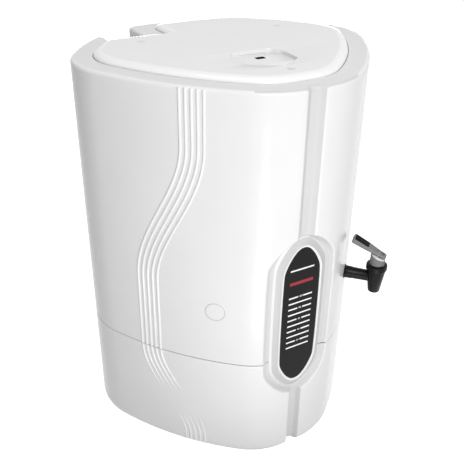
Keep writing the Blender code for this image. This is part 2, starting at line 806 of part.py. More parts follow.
def make_base_housing(stand, collar):
    """The base: rounded foot, tongue, floor, channel, rib ends, tank fins and the drain recess."""
    high = BASE_HIGH_Z
    rings = []
    for quarter in range(5):
        turn = math.radians(90 * quarter / 4)
        rings.append(casing_ring(BASE_EDGE * 2 / 3 * (1 - math.sin(turn)), BASE_Z + BASE_EDGE * (1 - math.cos(turn))))
    rings.append(casing_ring(0.0, high))
    rings.append(casing_ring(WALL + GAP, high))
    rings.append(casing_ring(WALL + GAP, high + TONGUE_RISE))
    rings.append(casing_ring(2 * WALL, high + TONGUE_RISE))
    rings.append(casing_ring(2 * WALL, high - TONGUE_RISE))
    rings.append(casing_ring(WALL, high - 2 * TONGUE_RISE))
    rings.append(casing_ring(WALL, BASE_Z + BASE_EDGE))
    rings.append(casing_ring(WALL + BASE_EDGE / 2, BASE_Z + FLOOR))
    housing = keep(loft("base_housing", rings), WHITE, stand)
    fade = RIB_FADE_LENGTH
    ribs = rib_paths(high - RIB_END, RIB_FADE_Z, fade_low=fade)
    ribs += rib_paths(RIB_RETURN_Z, BASE_Z + BASE_EDGE / 2, fade_high=fade)
    add(housing, helper(tubes("base_ribs", ribs, RIB_RADIUS), stand))
    reach = plan_place(len(PLAN) // 2)
    for index, place in enumerate([side * share * reach for share in FIN_PLACE_SHARES for side in (-1, 1)]):
        add(housing, helper(make_fin(index, place), stand))
    half = RECESS_WIDTH / 2 + WALL
    inner_y = HALF_DEPTH - RECESS_DEEP
    backing = box(
        "recess_backing",
        (-half, inner_y - WALL, BASE_Z + FLOOR / 2),
        (half, HALF_DEPTH - WALL / 2, RECESS_HIGH_Z + WALL),
    )
    add(housing, helper(backing, stand))
    half = RECESS_WIDTH / 2
    recess = box("recess", (-half, inner_y, RECESS_LOW_Z), (half, HALF_DEPTH + OVERRUN, RECESS_HIGH_Z))
    groove = channel_loop(FOOT_CHANNEL_WIDTH, FOOT_CHANNEL_WIDTH * 2 / 3, FOOT_CHANNEL_DEPTH)
    channel = plate("base_channel", [groove], BASE_Z - OVERRUN, high + GAP)
    pipe_hole = rod("pipe_hole", PIPE_RADIUS + GAP, -OVERRUN / 2, OVERRUN / 2)
    pipe_hole.location = (0.0, inner_y - WALL / 2, DRAIN_Z)
    pipe_hole.rotation_euler = (math.pi / 2, 0.0, 0.0)
    cutters = [recess, channel, pipe_hole]
    for index, (x, y) in enumerate(FOOT_PLACES):
        hole = rod(f"foot_hole_{index + 1}", FOOT_STUD + GAP, BASE_Z - GAP, BASE_Z + FLOOR + GAP, centre=(x, y))
        cutters.append(hole)
    for index, side in enumerate((-1, 1)):
        cutters.append(seam_screw_hole(index + 2, side))
    cut(housing, *[helper(cutter, stand) for cutter in cutters], collar)


def make_fin(index, place):
    """A fin from the base's wall that carries the tank's seat."""
    fin = box(
        f"fin_{index + 1}",
        (-TANK_INSET - TANK_SEAT, -FIN_THICK / 2, BASE_Z + FLOOR / 2),
        (-WALL / 2, FIN_THICK / 2, TANK_FLOOR_Z - GAP),
    )
    point, normal = on_plan(place)
    fin.location = (point.x, point.y, 0.0)
    fin.rotation_euler = (0.0, 0.0, math.atan2(normal.y, normal.x))
    return fin


def round_ring(centre_y, width, depth, height):
    """An oval ring with one point for each point of the plan."""
    ring = []
    for x, y in PLAN:
        angle = math.atan2((y - centre_y) / DEPTH, x / WIDTH)
        ring.append((width / 2 * math.cos(angle), centre_y + depth / 2 * math.sin(angle), height))
    return ring


def tank_ring(inset, height):
    """A ring of the tank's body, with its flat front."""
    loop = offset_loop(PLAN, TANK_INSET + inset)
    return raise_loop(clip_front(loop, TANK_FRONT_Y + inset), height)


def tub_rings(wall):
    """Rings of the tank's outside, or of its inside where a wall is given, bottom to top."""
    sump = 2 * (SUMP_RADIUS - wall)
    top = TANK_JOINT_Z + (OVERRUN if wall else -GAP / 2)
    return [
        round_ring(SUMP_Y, sump, sump, SUMP_BOTTOM_Z + wall),
        round_ring(SUMP_Y, sump, sump, SUMP_BOTTOM_Z + SUMP_RISE),
        tank_ring(TANK_SEAT + wall, TANK_FLOOR_Z + wall),
        tank_ring(wall, TANK_FLOOR_Z + wall),
        tank_ring(wall, top),
    ]


def cover_rings(wall):
    """Rings of the tank cover's outside, or of its inside where a wall is given, bottom to top."""
    neck = (NECK_WIDTH - 2 * wall, NECK_DEPTH - 2 * wall)
    shoulder = TANK_SHOULDER
    low = TANK_JOINT_Z - (OVERRUN if wall else -GAP / 2)
    top = NECK_TOP_Z + (OVERRUN if wall else 0.0)
    return [
        tank_ring(wall, low),
        tank_ring(wall, TANK_TOP_Z - shoulder),
        tank_ring(wall + shoulder / 3, TANK_TOP_Z - shoulder / 3 - wall / 2),
        tank_ring(wall + shoulder, TANK_TOP_Z - wall),
        round_ring(NECK_Y, neck[0], neck[1], TANK_TOP_Z - wall),
        round_ring(NECK_Y, neck[0], neck[1], top),
    ]


def make_tank(stand, tap_hole):
    """The vessel: a tub with a sloped floor to a sump, and the cover that is welded on it."""
    tank = keep(loft("inner_tank", tub_rings(0.0)), TANK, stand)
    cutters = [loft("tub_inside", tub_rings(TANK_WALL))]
    low = SUMP_BOTTOM_Z - OVERRUN / 2
    high = SUMP_BOTTOM_Z + OVERRUN / 2
    cutters.append(rod("pipe_port", PIPE_RADIUS + GAP, low, high, centre=(0.0, PIPE_Y)))
    cutters.append(rod("sensor_port", SENSOR_STUB + GAP, low, high, centre=(0.0, SENSOR_Y)))
    cut(tank, *[helper(cutter, stand) for cutter in cutters], tap_hole)
    make_tank_cover(stand)


def make_tank_cover(stand):
    """The tank's cover: shoulder, neck and the three lid posts, with holes for the hose tails."""
    cover = keep(loft("tank_cover", cover_rings(0.0)), TANK, stand)
    for index, (x, y) in enumerate(LID_SCREW_PLACES):
        post = rod(f"post_{index + 1}", POST_RADIUS, TANK_TOP_Z - TANK_WALL / 2, LID_PLUG_Z - GAP, centre=(x, y))
        add(cover, helper(post, stand))
    cutters = [loft("cover_inside", cover_rings(TANK_WALL))]
    for name, x, y in HOSE_PLACES:
        top = TANK_TOP_Z + GAP
        cutters.append(rod(name + "_port", TAIL_SHANK + GAP, top - 4 * TANK_WALL, top, centre=(x, y)))
    for index, (x, y) in enumerate(LID_SCREW_PLACES):
        low = LID_PLUG_Z - LID_SCREW_LENGTH
        cutters.append(rod(f"post_hole_{index + 1}", LID_SCREW_SHANK + GAP, low, LID_PLUG_Z + GAP, centre=(x, y)))
    cut(cover, *[helper(cutter, stand) for cutter in cutters])


def make_neck_seal(stand):
    """The flat seal on the tank's neck."""
    low = NECK_TOP_Z + GAP
    outer = [(x, y) for x, y, _ in round_ring(NECK_Y, NECK_WIDTH, NECK_DEPTH, low)]
    bore = (NECK_WIDTH - 3 * TANK_WALL, NECK_DEPTH - 3 * TANK_WALL)
    inner = [(x, y) for x, y, _ in round_ring(NECK_Y, *bore, low)]
    keep(plate("neck_seal", [outer, inner], low, low + SEAL_THICK), SILICONE, stand)


def vent_loop():
    """The outline of the vent's cover in plan."""
    return [(VENT_WIDTH / 2 * x, VENT_Y + VENT_WIDTH / 2 * y) for x, y in VENT_OUTLINE_SHARES]


def make_lid(stand):
    """The cover with its rounded edge, plug, vent seat and screw holes; its empty rises with it."""
    top = LID_TOP_Z
    rings = [raise_loop(lid_loop(LID_LEDGE + LID_GAP), LID_PLUG_Z)]
    rings.append(raise_loop(lid_loop(LID_LEDGE + LID_GAP), LID_LOW_Z))
    rings.append(raise_loop(lid_loop(0.0), LID_LOW_Z))
    rings.append(raise_loop(lid_loop(0.0), RIM_Z))
    for share in (30, 60, 90):
        turn = math.radians(share)
        inset = LID_EDGE * (1 - math.cos(turn))
        rings.append(raise_loop(lid_loop(inset), RIM_Z + LID_RISE * math.sin(turn)))
    lid = keep(loft("lid", rings), LID_WHITE, stand)
    seat = plate("vent_seat", [offset_loop(vent_loop(), -GAP)], VENT_FLOOR_Z, top + OVERRUN)
    flange_low = VENT_FLOOR_Z - FILTER_FLANGE_THICK - VENT_SEAL_THICK - 3 * GAP
    centre = (0.0, VENT_Y)
    flange = rod("filter_seat", FILTER_FLANGE + GAP, flange_low, top, FINE, centre)
    bore = rod("filter_bore", FILTER_RADIUS + GAP, LID_PLUG_Z - OVERRUN, top, FINE, centre)
    cutters = [seat, flange, bore]
    for index, (x, y) in enumerate(LID_SCREW_PLACES):
        hole = turned(
            f"lid_screw_hole_{index + 1}",
            screw_profile(LID_SCREW_RADIUS + GAP, LID_SCREW_SHANK + GAP, LID_SCREW_HEAD + GAP, OVERRUN, OVERRUN),
            COARSE,
        )
        hole.location = (x, y, top)
        cutters.append(hole)
    cut(lid, *[helper(cutter, stand) for cutter in cutters])


def make_vent(stand):
    """The vent's cover, filter and seal, under the sunk place of the lid."""
    low = VENT_FLOOR_Z + GAP
    half_x = VENT_SLOT_WIDTH / 2
    middle_y = VENT_Y + VENT_SLOT_Y
    half_y = VENT_SLOT_DEPTH / 2
    slot = [
        (-half_x, middle_y - half_y),
        (half_x, middle_y - half_y),
        (half_x, middle_y + half_y),
        (-half_x, middle_y + half_y),
    ]
    keep(plate("vent_cover", [vent_loop(), slot], low, low + VENT_PLATE), LID_WHITE, stand)
    flange_top = VENT_FLOOR_Z - GAP
    flange_low = flange_top - FILTER_FLANGE_THICK
    bottom = LID_PLUG_Z - FILTER_DEEP
    profile = [
        (0.0, flange_top),
        (FILTER_FLANGE, flange_top),
        (FILTER_FLANGE, flange_low),
        (FILTER_RADIUS, flange_low),
        (FILTER_RADIUS, bottom),
        (FILTER_CORE, bottom),
        (FILTER_CORE, bottom + FILTER_CORE),
        (0.0, bottom + FILTER_CORE),
    ]
    body = turned("vent_filter", profile)
    body.location = (0.0, VENT_Y, 0.0)
    keep(body, BLACK, stand)
    seal_top = flange_low - GAP
    ring = [
        (FILTER_FLANGE, seal_top),
        (FILTER_FLANGE, seal_top - VENT_SEAL_THICK),
        (FILTER_RADIUS + 2 * GAP, seal_top - VENT_SEAL_THICK),
        (FILTER_RADIUS + 2 * GAP, seal_top),
    ]
    seal = turned("vent_seal", ring, closed=True)
    seal.location = (0.0, VENT_Y, 0.0)
    keep(seal, RUBBER, stand)


def make_lid_screws(stand):
    """The three flush screws of the lid."""
    profile = screw_profile(LID_SCREW_RADIUS, LID_SCREW_SHANK, LID_SCREW_HEAD, LID_SCREW_LENGTH)
    for index, (x, y) in enumerate(LID_SCREW_PLACES):
        screw = turned(f"lid_screw_{index + 1}", profile, COARSE)
        screw.location = (x, y, LID_TOP_Z)
        keep(screw, STEEL, stand)


def bar_boxes():
    """Lengths and heights of the scale's white bars, as (low x, high x, z)."""
    half = BAR_LENGTH / 2
    bars = [(-half, half, TOP_BAR_Z)]
    for index in range(SCALE_BARS):
        height = SCALE_TOP_Z - SCALE_PITCH * index
        if index % 2:
            bars.append((-half, half, height))
        else:
            bars.append((-half, -BAR_BREAK / 2, height))
            bars.append((BAR_BREAK / 2, half, height))
    return bars


def bar_loop(low_x, high_x, height, grow=0.0, tall=BAR_HEIGHT):
    """The outline of one bar in X and Z."""
    half = tall / 2 + grow
    return [
        (low_x - grow, height - half),
        (high_x + grow, height - half),
        (high_x + grow, height + half),
        (low_x - grow, height + half),
    ]


def make_display(stand):
    """Bezel, window, light guide, red bar and circuit board."""
    bezel_loop = six_sided(BEZEL_WIDTH, BEZEL_BOTTOM_Z, BEZEL_TOP_Z)
    window_loop = six_sided(WINDOW_WIDTH, WINDOW_BOTTOM_Z, WINDOW_TOP_Z)
    hole_loop = list(reversed(offset_loop(window_loop, -GAP)))
    back = COLLAR_FLOOR_Y - GAP
    bezel_front = BEZEL_SUNK - HALF_DEPTH
    bezel = upright_plate("display_bezel", [bezel_loop, hole_loop], bezel_front, back)
    keep(bezel, WHITE, stand)
    front = bezel_front + WINDOW_SUNK
    window_back = front + WINDOW_THICK
    bars = bar_boxes()
    half = BAR_LENGTH / 2
    alarm = (-half, half, ALARM_BAR_Z)
    slots = [list(reversed(bar_loop(*bar, grow=GAP))) for bar in bars]
    slots.append(list(reversed(bar_loop(*alarm, grow=GAP, tall=ALARM_HEIGHT))))
    keep(upright_plate("display_window", [window_loop] + slots, front, window_back), PANEL, stand)
    guide_front = window_back + GAP
    guide_back = guide_front + GUIDE_THICK
    guide_loop = offset_loop(window_loop, 2 * GUIDE_THICK)
    alarm_hole = list(reversed(bar_loop(*alarm, grow=2 * GAP, tall=ALARM_HEIGHT)))
    guide = upright_plate("light_guide", [guide_loop, alarm_hole], guide_front, guide_back)
    keep(guide, BAR_WHITE, stand, smooth=False)
    for index, bar in enumerate(bars):
        tooth = upright_plate(f"guide_tooth_{index + 1}", [bar_loop(*bar)], front, guide_back - GUIDE_THICK / 2)
        add(guide, helper(tooth, stand))
    alarm_loop = bar_loop(*alarm, tall=ALARM_HEIGHT)
    keep(upright_plate("alarm_bar", [alarm_loop], front, guide_back), BAR_RED, stand, smooth=False)
    board_front = guide_back + GAP
    keep(upright_plate("display_board", [guide_loop], board_front, back), BOARD, stand, smooth=False)


def make_port_plug(plug_port):
    """The blank cover, flush with the wall and held by its inner lip."""
    wall = -WALL - GAP
    profile = [
        (0.0, 0.0),
        (PLUG_RADIUS, 0.0),
        (PLUG_RADIUS, wall),
        (PLUG_RADIUS + PLUG_LIP, wall),
        (PLUG_RADIUS + PLUG_LIP, wall - PLUG_LIP_THICK),
        (0.0, wall - PLUG_LIP_THICK),
    ]
    keep(lay_out(turned("port_plug", profile)), WHITE, plug_port)


def make_tap(port):
    """The dispensing tap with its valve, and how it is clamped through casing and tank."""
    make_tap_body(port)
    make_tap_clamp(port)
    make_bonnet(port)
    make_valve(port)
    make_lever(port)


def make_tap_body(port):
    """Barrel and shank in one moulding."""
    bottom = -BARREL_BOTTOM
    seat = bottom + SEAT_RISE
    profile = [
        (BARREL_BORE, BARREL_TOP),
        (BARREL_RADIUS - WALL / 4, BARREL_TOP),
        (BARREL_RADIUS, BARREL_TOP - WALL / 4),
        (BARREL_RADIUS, BARREL_TOP - WALL),
        (BARREL_TIP, bottom),
        (SPOUT_RADIUS, bottom),
        (SPOUT_RADIUS, seat),
        (CUP_RADIUS + GAP, seat),
        (CUP_RADIUS + GAP, seat + CUP_HEIGHT),
        (BARREL_BORE, 0.0),
    ]
    body = turned("tap_body", profile, closed=True)
    body.location = (TAP_REACH, 0.0, 0.0)
    keep(body, BLACK, port)
    inner = TAP_REACH - BARREL_BORE - WALL / 4
    shank = lay_out(rod("shank", SHANK_ROOT, GAP, inner, FINE, tip=SHANK_TIP))
    thread = lay_out(rod("shank_thread", SHANK_THREAD, -SHANK_INSIDE, WALL, FINE))
    add(body, helper(shank, port), helper(thread, port))
    bore = lay_out(rod("shank_bore", SHANK_BORE, -SHANK_INSIDE - OVERRUN, TAP_REACH))
    cut(body, helper(bore, port))


def make_tap_clamp(port):
    """Spacer, seal and nut on the shank's thread."""
    bore = circle(SHANK_THREAD + GAP)[::-1]
    spacer_ring = circle(NUT_RADIUS - WALL / 4, segments=FINE)
    low = -TANK_INSET + GAP
    spacer = plate("tap_spacer", [spacer_ring, bore], low, -WALL - GAP)
    keep(lay_out(spacer), GREY, port)
    wall = -TANK_INSET - TANK_WALL - GAP
    seal = plate("tap_seal", [spacer_ring, bore], wall - TAP_SEAL_THICK, wall)
    keep(lay_out(seal), RUBBER, port)
    high = wall - TAP_SEAL_THICK - GAP
    nut = plate("tap_nut", [circle(NUT_RADIUS, segments=6), bore], high - NUT_THICK, high)
    keep(lay_out(nut), BLACK, port, smooth=False)


def make_bonnet(port):
    """The grey cap in the barrel's top, cut to the lever's slope."""
    profile = [
        (STEM_RADIUS + RUN_GAP, BARREL_TOP + BONNET_RISE),
        (BONNET_RADIUS, BARREL_TOP + BONNET_RISE),
        (BONNET_RADIUS, BARREL_TOP + GAP),
        (BARREL_BORE - GAP, BARREL_TOP + GAP),
        (BARREL_BORE - GAP, BARREL_TOP - BONNET_PLUG),
        (STEM_RADIUS + RUN_GAP, BARREL_TOP - BONNET_PLUG),
    ]
    bonnet = turned("tap_bonnet", profile, closed=True)
    bonnet.location = (TAP_REACH, 0.0, 0.0)
    keep(bonnet, GREY, port)
    reach = 2 * BARREL_RADIUS
    slope = box("bonnet_slope", (-reach, -reach, 0.0), (reach, reach, reach))
    slope.location = (TAP_REACH, 0.0, PIVOT_RISE - LEVER_THICK / 2 - 2 * RUN_GAP)
    slope.rotation_euler = (0.0, BONNET_SLOPE, 0.0)
    well = rod("stem_well", STEM_HEAD + STEM_RADIUS, PIVOT_RISE - 2 * LEVER_THICK, PIVOT_RISE)
    well.location = (TAP_REACH, 0.0, 0.0)
    cut(bonnet, helper(slope, port), helper(well, port))


def make_valve(port):
    """Stem and rubber seat cup, which rise together when the lever is lifted."""
    seat = SEAT_RISE - BARREL_BOTTOM
    cup_top = seat + GAP + CUP_HEIGHT
    eye_high = PIVOT_RISE + STEM_HEAD
    stem = rod("valve_stem", STEM_RADIUS, cup_top - CUP_HEIGHT / 2 + GAP, PIVOT_RISE)
    stem.location = (TAP_REACH, 0.0, 0.0)
    keep(stem, STEEL, port)
    eye = rod("stem_eye", STEM_HEAD, -STEM_RADIUS, STEM_RADIUS)
    eye.location = (TAP_REACH, 0.0, eye_high - STEM_HEAD)
    eye.rotation_euler = (math.pi / 2, 0.0, 0.0)
    add(stem, helper(eye, port))
    hole = rod("stem_pin_hole", PIN_RADIUS + RUN_GAP / 2, -OVERRUN, OVERRUN)
    hole.location = (TAP_REACH, 0.0, PIVOT_RISE)
    hole.rotation_euler = (math.pi / 2, 0.0, 0.0)
    cut(stem, helper(hole, port))
    profile = [
        (0.0, cup_top - CUP_HEIGHT / 2),
        (STEM_RADIUS + GAP, cup_top - CUP_HEIGHT / 2),
        (STEM_RADIUS + GAP, cup_top),
        (CUP_RADIUS - WALL / 2, cup_top),
        (CUP_RADIUS - GAP, seat + WALL),
        (CUP_RADIUS - GAP, seat + GAP),
        (0.0, seat + GAP),
    ]
    cup = turned("seat_cup", profile)
    cup.location = (TAP_REACH, 0.0, 0.0)
    keep(cup, RUBBER, port)


def make_lever(port):
    """The lever, forked round the stem's eye, and its pin. Its origin is on the pin's axis."""
    wide = LEVER_WIDTH / 2
    narrow = LEVER_HEEL_WIDTH / 2
    tip = LEVER_HEEL - LEVER_LENGTH
    fork = STEM_RADIUS + RUN_GAP
    reach = STEM_HEAD + RUN_GAP
    lifted = LEVER_SLOPE + LEVER_TRAVEL
    front = (STEM_RADIUS + RUN_GAP + LEVER_THICK / 2 * math.sin(lifted)) / math.cos(lifted)
    outline = [
        (tip, -wide),
        (-reach, -narrow),
        (LEVER_HEEL, -narrow),
        (LEVER_HEEL, narrow),
        (-reach, narrow),
        (tip, wide),
    ]
    slot = [(-reach, -fork), (-reach, fork), (front, fork), (front, -fork)]
    lever = plate("tap_lever", [outline, slot], -LEVER_THICK / 2, LEVER_THICK / 2)
    lever.location = (TAP_REACH, 0.0, PIVOT_RISE)
    lever.rotation_euler = (0.0, LEVER_SLOPE, 0.0)
    keep(lever, GREY, port, smooth=False)
    hole = rod("lever_pin_hole", PIN_RADIUS + GAP / 2, -OVERRUN, OVERRUN)
    hole.location = lever.location
    hole.rotation_euler = (math.pi / 2, 0.0, 0.0)
    cut(lever, helper(hole, port))
    pin = rod("lever_pin", PIN_RADIUS, -narrow + GAP, narrow - GAP)
    pin.location = lever.location
    pin.rotation_euler = (math.pi / 2, 0.0, 0.0)
    keep(pin, STEEL, port)


def make_fittings(stand):
    """The three hose tails that stand in the rear pocket and reach into the tank."""
    floor = POCKET_FLOOR_Z + GAP
    top = floor + TAIL_FLANGE_THICK + TAIL_RISE
    barb_low = floor + TAIL_FLANGE_THICK
    pitch = (top - barb_low) / (TAIL_BARBS + 1)
    profile = [(TAIL_BORE, top), (TAIL_RADIUS - TAIL_BARB, top)]
    for index in range(TAIL_BARBS):
        profile.append((TAIL_RADIUS, top - pitch * (index + TAIL_CREST_SHARE)))
        profile.append((TAIL_RADIUS - TAIL_BARB, top - pitch * (index + 1)))
    profile += [
        (TAIL_RADIUS - TAIL_BARB, barb_low),
        (TAIL_FLANGE, barb_low),
        (TAIL_FLANGE, floor),
        (TAIL_SHANK, floor),
        (TAIL_SHANK, TANK_TOP_Z - 3 * TANK_WALL),
        (TAIL_BORE, TANK_TOP_Z - 3 * TANK_WALL),
    ]
    for name, x, y in HOSE_PLACES:
        tail = turned(name, profile, COARSE, closed=True)
        tail.location = (x, y, 0.0)
        keep(tail, BLUE if name == "inlet_fitting" else LID_WHITE, stand)


def make_drain(stand):
    """Pipe from the sump to the rear recess, with a cock whose lever turns about Z."""
    inner_y = HALF_DEPTH - RECESS_DEEP
    bend = 2 * PIPE_RADIUS
    path = [(0.0, PIPE_Y, SUMP_BOTTOM_Z + TANK_WALL)]
    for angle in (0, 30, 60, 90):
        turn = math.radians(angle)
        path.append((0.0, PIPE_Y + bend * (1 - math.cos(turn)), DRAIN_Z + bend * (1 - math.sin(turn))))
    path.append((0.0, inner_y - GAP, DRAIN_Z))
    pipe = tubes("drain_pipe", [[(point, 1.0) for point in path]], PIPE_RADIUS, sides=3, filled=False)
    shell = pipe.modifiers.new("wall", "SOLIDIFY")
    shell.thickness = PIPE_WALL
    shell.offset = -1.0
    keep(pipe, LID_WHITE, stand)
    low = inner_y + GAP
    high = low + VALVE_LENGTH
    tail = HALF_DEPTH - WALL / 2
    profile = [
        (TAIL_BORE, tail),
        (TAIL_RADIUS - TAIL_BARB, tail),
        (TAIL_RADIUS, tail - WALL),
        (TAIL_RADIUS, high),
        (VALVE_RADIUS, high),
        (VALVE_RADIUS, low),
        (TAIL_BORE, low),
    ]
    valve = turned("drain_valve", profile, closed=True)
    valve.location = (0.0, 0.0, DRAIN_Z)
    valve.rotation_euler = (-math.pi / 2, 0.0, 0.0)
    keep(valve, LID_WHITE, stand)
    cock_y = low + VALVE_LENGTH * COCK_Y_SHARE
    socket = rod("cock_socket", COCK_RADIUS + RUN_GAP, -VALVE_RADIUS - GAP, VALVE_RADIUS + OVERRUN)
    socket.location = (0.0, cock_y, DRAIN_Z)
    cut(valve, helper(socket, stand))
    top = VALVE_RADIUS + COCK_STEM_RISE
    cock = rod("drain_cock", COCK_RADIUS, -VALVE_RADIUS, top)
    cock.location = (0.0, cock_y, DRAIN_Z)
    keep(cock, STEEL, stand)
    bore = rod("cock_bore", COCK_BORE, -OVERRUN, OVERRUN)
    bore.location = cock.location
    bore.rotation_euler = (0.0, math.pi / 2, 0.0)
    cut(cock, helper(bore, stand))
    half = DRAIN_LEVER_WIDTH / 2
    loop = [
        (-half, -half),
        (DRAIN_LEVER_LENGTH, -half * 2 / 3),
        (DRAIN_LEVER_LENGTH, half * 2 / 3),
        (-half, half),
    ]
    handle = plate("drain_handle", [loop], top + GAP, top + GAP + DRAIN_LEVER_THICK)
    handle.location = cock.location
    keep(handle, BLUE, stand, smooth=False)


def make_sensor(stand):
    """The level sensor under the sump and its lead to the display board."""
    top = SUMP_BOTTOM_Z - GAP
    profile = [
        (0.0, SUMP_BOTTOM_Z + TANK_WALL),
        (SENSOR_STUB, SUMP_BOTTOM_Z + TANK_WALL),
        (SENSOR_STUB, top),
        (SENSOR_RADIUS, top),
        (SENSOR_RADIUS, top - SENSOR_HEIGHT),
        (0.0, top - SENSOR_HEIGHT),
    ]
    sensor = turned("level_sensor", profile)
    sensor.location = (0.0, SENSOR_Y, 0.0)
    keep(sensor, BLACK, stand)
    middle = top - SENSOR_HEIGHT / 2
    rise = LEAD_RISE_Y
    start_y = SENSOR_Y - SENSOR_RADIUS - GAP
    run = rise - start_y
    end_y = COLLAR_FLOOR_Y
    back = NOSE_BACK_Y + LEAD_RADIUS + GAP
    along = [start_y + run * share for share in LEAD_RUN_SHARES]
    path = [
        (0.0, start_y, middle),
        (0.0, along[0], middle - SENSOR_HEIGHT / 4),
        (0.0, along[1], LEAD_FLOOR_Z + SENSOR_HEIGHT / 4),
        (0.0, along[2], LEAD_FLOOR_Z),
        (0.0, along[3], LEAD_FLOOR_Z),
        (0.0, along[4], LEAD_FLOOR_Z + SENSOR_HEIGHT / 4),
        (0.0, rise, LEAD_FLOOR_Z + SENSOR_HEIGHT),
        (0.0, rise, LEAD_HOLE_Z - SENSOR_HEIGHT),
        (0.0, rise - WALL / 4, LEAD_HOLE_Z - SENSOR_HEIGHT / 3),
        (0.0, back - WALL / 2, LEAD_HOLE_Z),
        (0.0, end_y, LEAD_HOLE_Z),
    ]
    keep(tubes("sensor_lead", [[(point, 1.0) for point in path]], LEAD_RADIUS), RUBBER, stand)


def make_feet(stand):
    """Four rubber feet, each with a stud in the floor."""
    top = BASE_Z - GAP
    profile = [
        (0.0, BASE_Z + FOOT_STUD_RISE),
        (FOOT_STUD, BASE_Z + FOOT_STUD_RISE),
        (FOOT_STUD, top),
        (FOOT_RADIUS, top),
        (FOOT_RADIUS, 0.0),
        (0.0, 0.0),
    ]
    for index, (x, y) in enumerate(FOOT_PLACES):
        foot = turned(f"foot_{index + 1}", profile, COARSE)
        foot.location = (x, y, 0.0)
        keep(foot, RUBBER, stand)


def make_seam_screws(stand):
    """Two screws at the rear, through the upper casing into the base's tongue."""
    profile = screw_profile(SEAM_SCREW_RADIUS, SEAM_SCREW_SHANK, SEAM_SCREW_HEAD, 2 * WALL)
    for index, side in enumerate((-1, 1)):
        screw = turned(f"seam_screw_{index + 1}", profile, COARSE)
        screw.location = (side * SEAM_SCREW_X, HALF_DEPTH, UPPER_LOW_Z + SEAM_SCREW_RISE)
        screw.rotation_euler = (-math.pi / 2, 0.0, 0.0)
        keep(screw, STEEL, stand)


def centre_stand(stand):
    """Moves the whole part so that the origin is at the bottom centre of its box."""
    bpy.context.view_layer.update()
    graph = bpy.context.evaluated_depsgraph_get()
    corners = []
    for obj in PARTS.objects:
        if obj.type == "MESH":
            evaluated = obj.evaluated_get(graph)
            mesh = evaluated.to_mesh()
            corners += [evaluated.matrix_world @ vertex.co for vertex in mesh.vertices]
            evaluated.to_mesh_clear()
    for axis in (0, 1):
        values = [corner[axis] for corner in corners]
        stand.location[axis] = -(min(values) + max(values)) / 2


def main():
    """Builds every piece under one empty."""
    stand = bpy.data.objects.new("stand", None)
    PARTS.objects.link(stand)
    port = tap_frame(stand, "tap_port", TAP_PLACE)
    plug_port = tap_frame(stand, "plug_port", -TAP_PLACE)
    tap_hole, plug_hole = wall_holes(stand, port, plug_port)
    collar = collar_cutter(stand)
    make_upper_housing(stand, collar, tap_hole, plug_hole)
    make_base_housing(stand, collar)
    make_tank(stand, tap_hole)
    make_neck_seal(stand)
    make_lid(stand)
    make_vent(stand)
    make_lid_screws(stand)
    make_display(stand)
    make_port_plug(plug_port)
    make_tap(port)
    make_fittings(stand)
    make_drain(stand)
    make_sensor(stand)
    make_feet(stand)
    make_seam_screws(stand)
    centre_stand(stand)


main()
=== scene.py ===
"""Dressed model of a laboratory water reservoir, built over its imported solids.

All sizes are in metres in the solids' own frame: +Z up, -Y the front with the level display.
"""

from __future__ import annotations

import json
import logging
import math
from dataclasses import dataclass, field
from enum import Enum
from typing import Callable, Sequence

import bmesh
import bpy
import numpy as np
from mathutils import Matrix, Vector
from mathutils.geometry import tessellate_polygon


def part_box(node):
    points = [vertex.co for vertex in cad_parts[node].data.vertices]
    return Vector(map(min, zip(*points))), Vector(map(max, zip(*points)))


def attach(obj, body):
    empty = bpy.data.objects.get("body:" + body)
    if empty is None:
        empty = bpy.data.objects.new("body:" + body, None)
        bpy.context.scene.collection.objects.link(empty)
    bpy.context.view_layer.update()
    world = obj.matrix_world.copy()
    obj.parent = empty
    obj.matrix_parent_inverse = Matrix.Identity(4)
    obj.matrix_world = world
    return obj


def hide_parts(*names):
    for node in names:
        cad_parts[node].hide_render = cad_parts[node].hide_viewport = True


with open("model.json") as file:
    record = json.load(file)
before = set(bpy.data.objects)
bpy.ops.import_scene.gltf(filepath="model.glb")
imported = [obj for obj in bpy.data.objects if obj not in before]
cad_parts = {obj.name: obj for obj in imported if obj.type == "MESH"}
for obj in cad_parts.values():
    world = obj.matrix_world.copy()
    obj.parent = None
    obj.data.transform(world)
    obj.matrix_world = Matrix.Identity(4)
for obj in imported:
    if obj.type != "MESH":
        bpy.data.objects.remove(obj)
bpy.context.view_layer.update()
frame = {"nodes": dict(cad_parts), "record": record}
LOG = logging.getLogger("reservoir")
PROBE = 0.001
JUST = 1e-9

Point = tuple[float, float]
Place = tuple[float, float, float]
Socket = bpy.types.NodeSocket


class Body(Enum):
    """The moving groups that a dressed piece can ride on."""

    CASING = "casing"
    LID = "lid"
    VENT = "vent_cover"
    LEVER = "tap_lever"


# Finishes


def preset(node: bpy.types.Node, **values: float | Sequence[float]) -> bpy.types.Node:
    """Sets constant sockets of a node.

    Args:
        node: The node.
        values: Socket values, each named for its socket with _ for a space.

    Returns:
        The same node.
    """
    for name, value in values.items():
        node.inputs[name.replace("_", " ")].default_value = value
    return node


def shade(colour: Place, factor: float, lift: float = 0.0) -> Place:
    """A colour times a factor, with a lift, and no channel above 1."""
    return tuple(min(1.0, channel * factor + lift) for channel in colour)


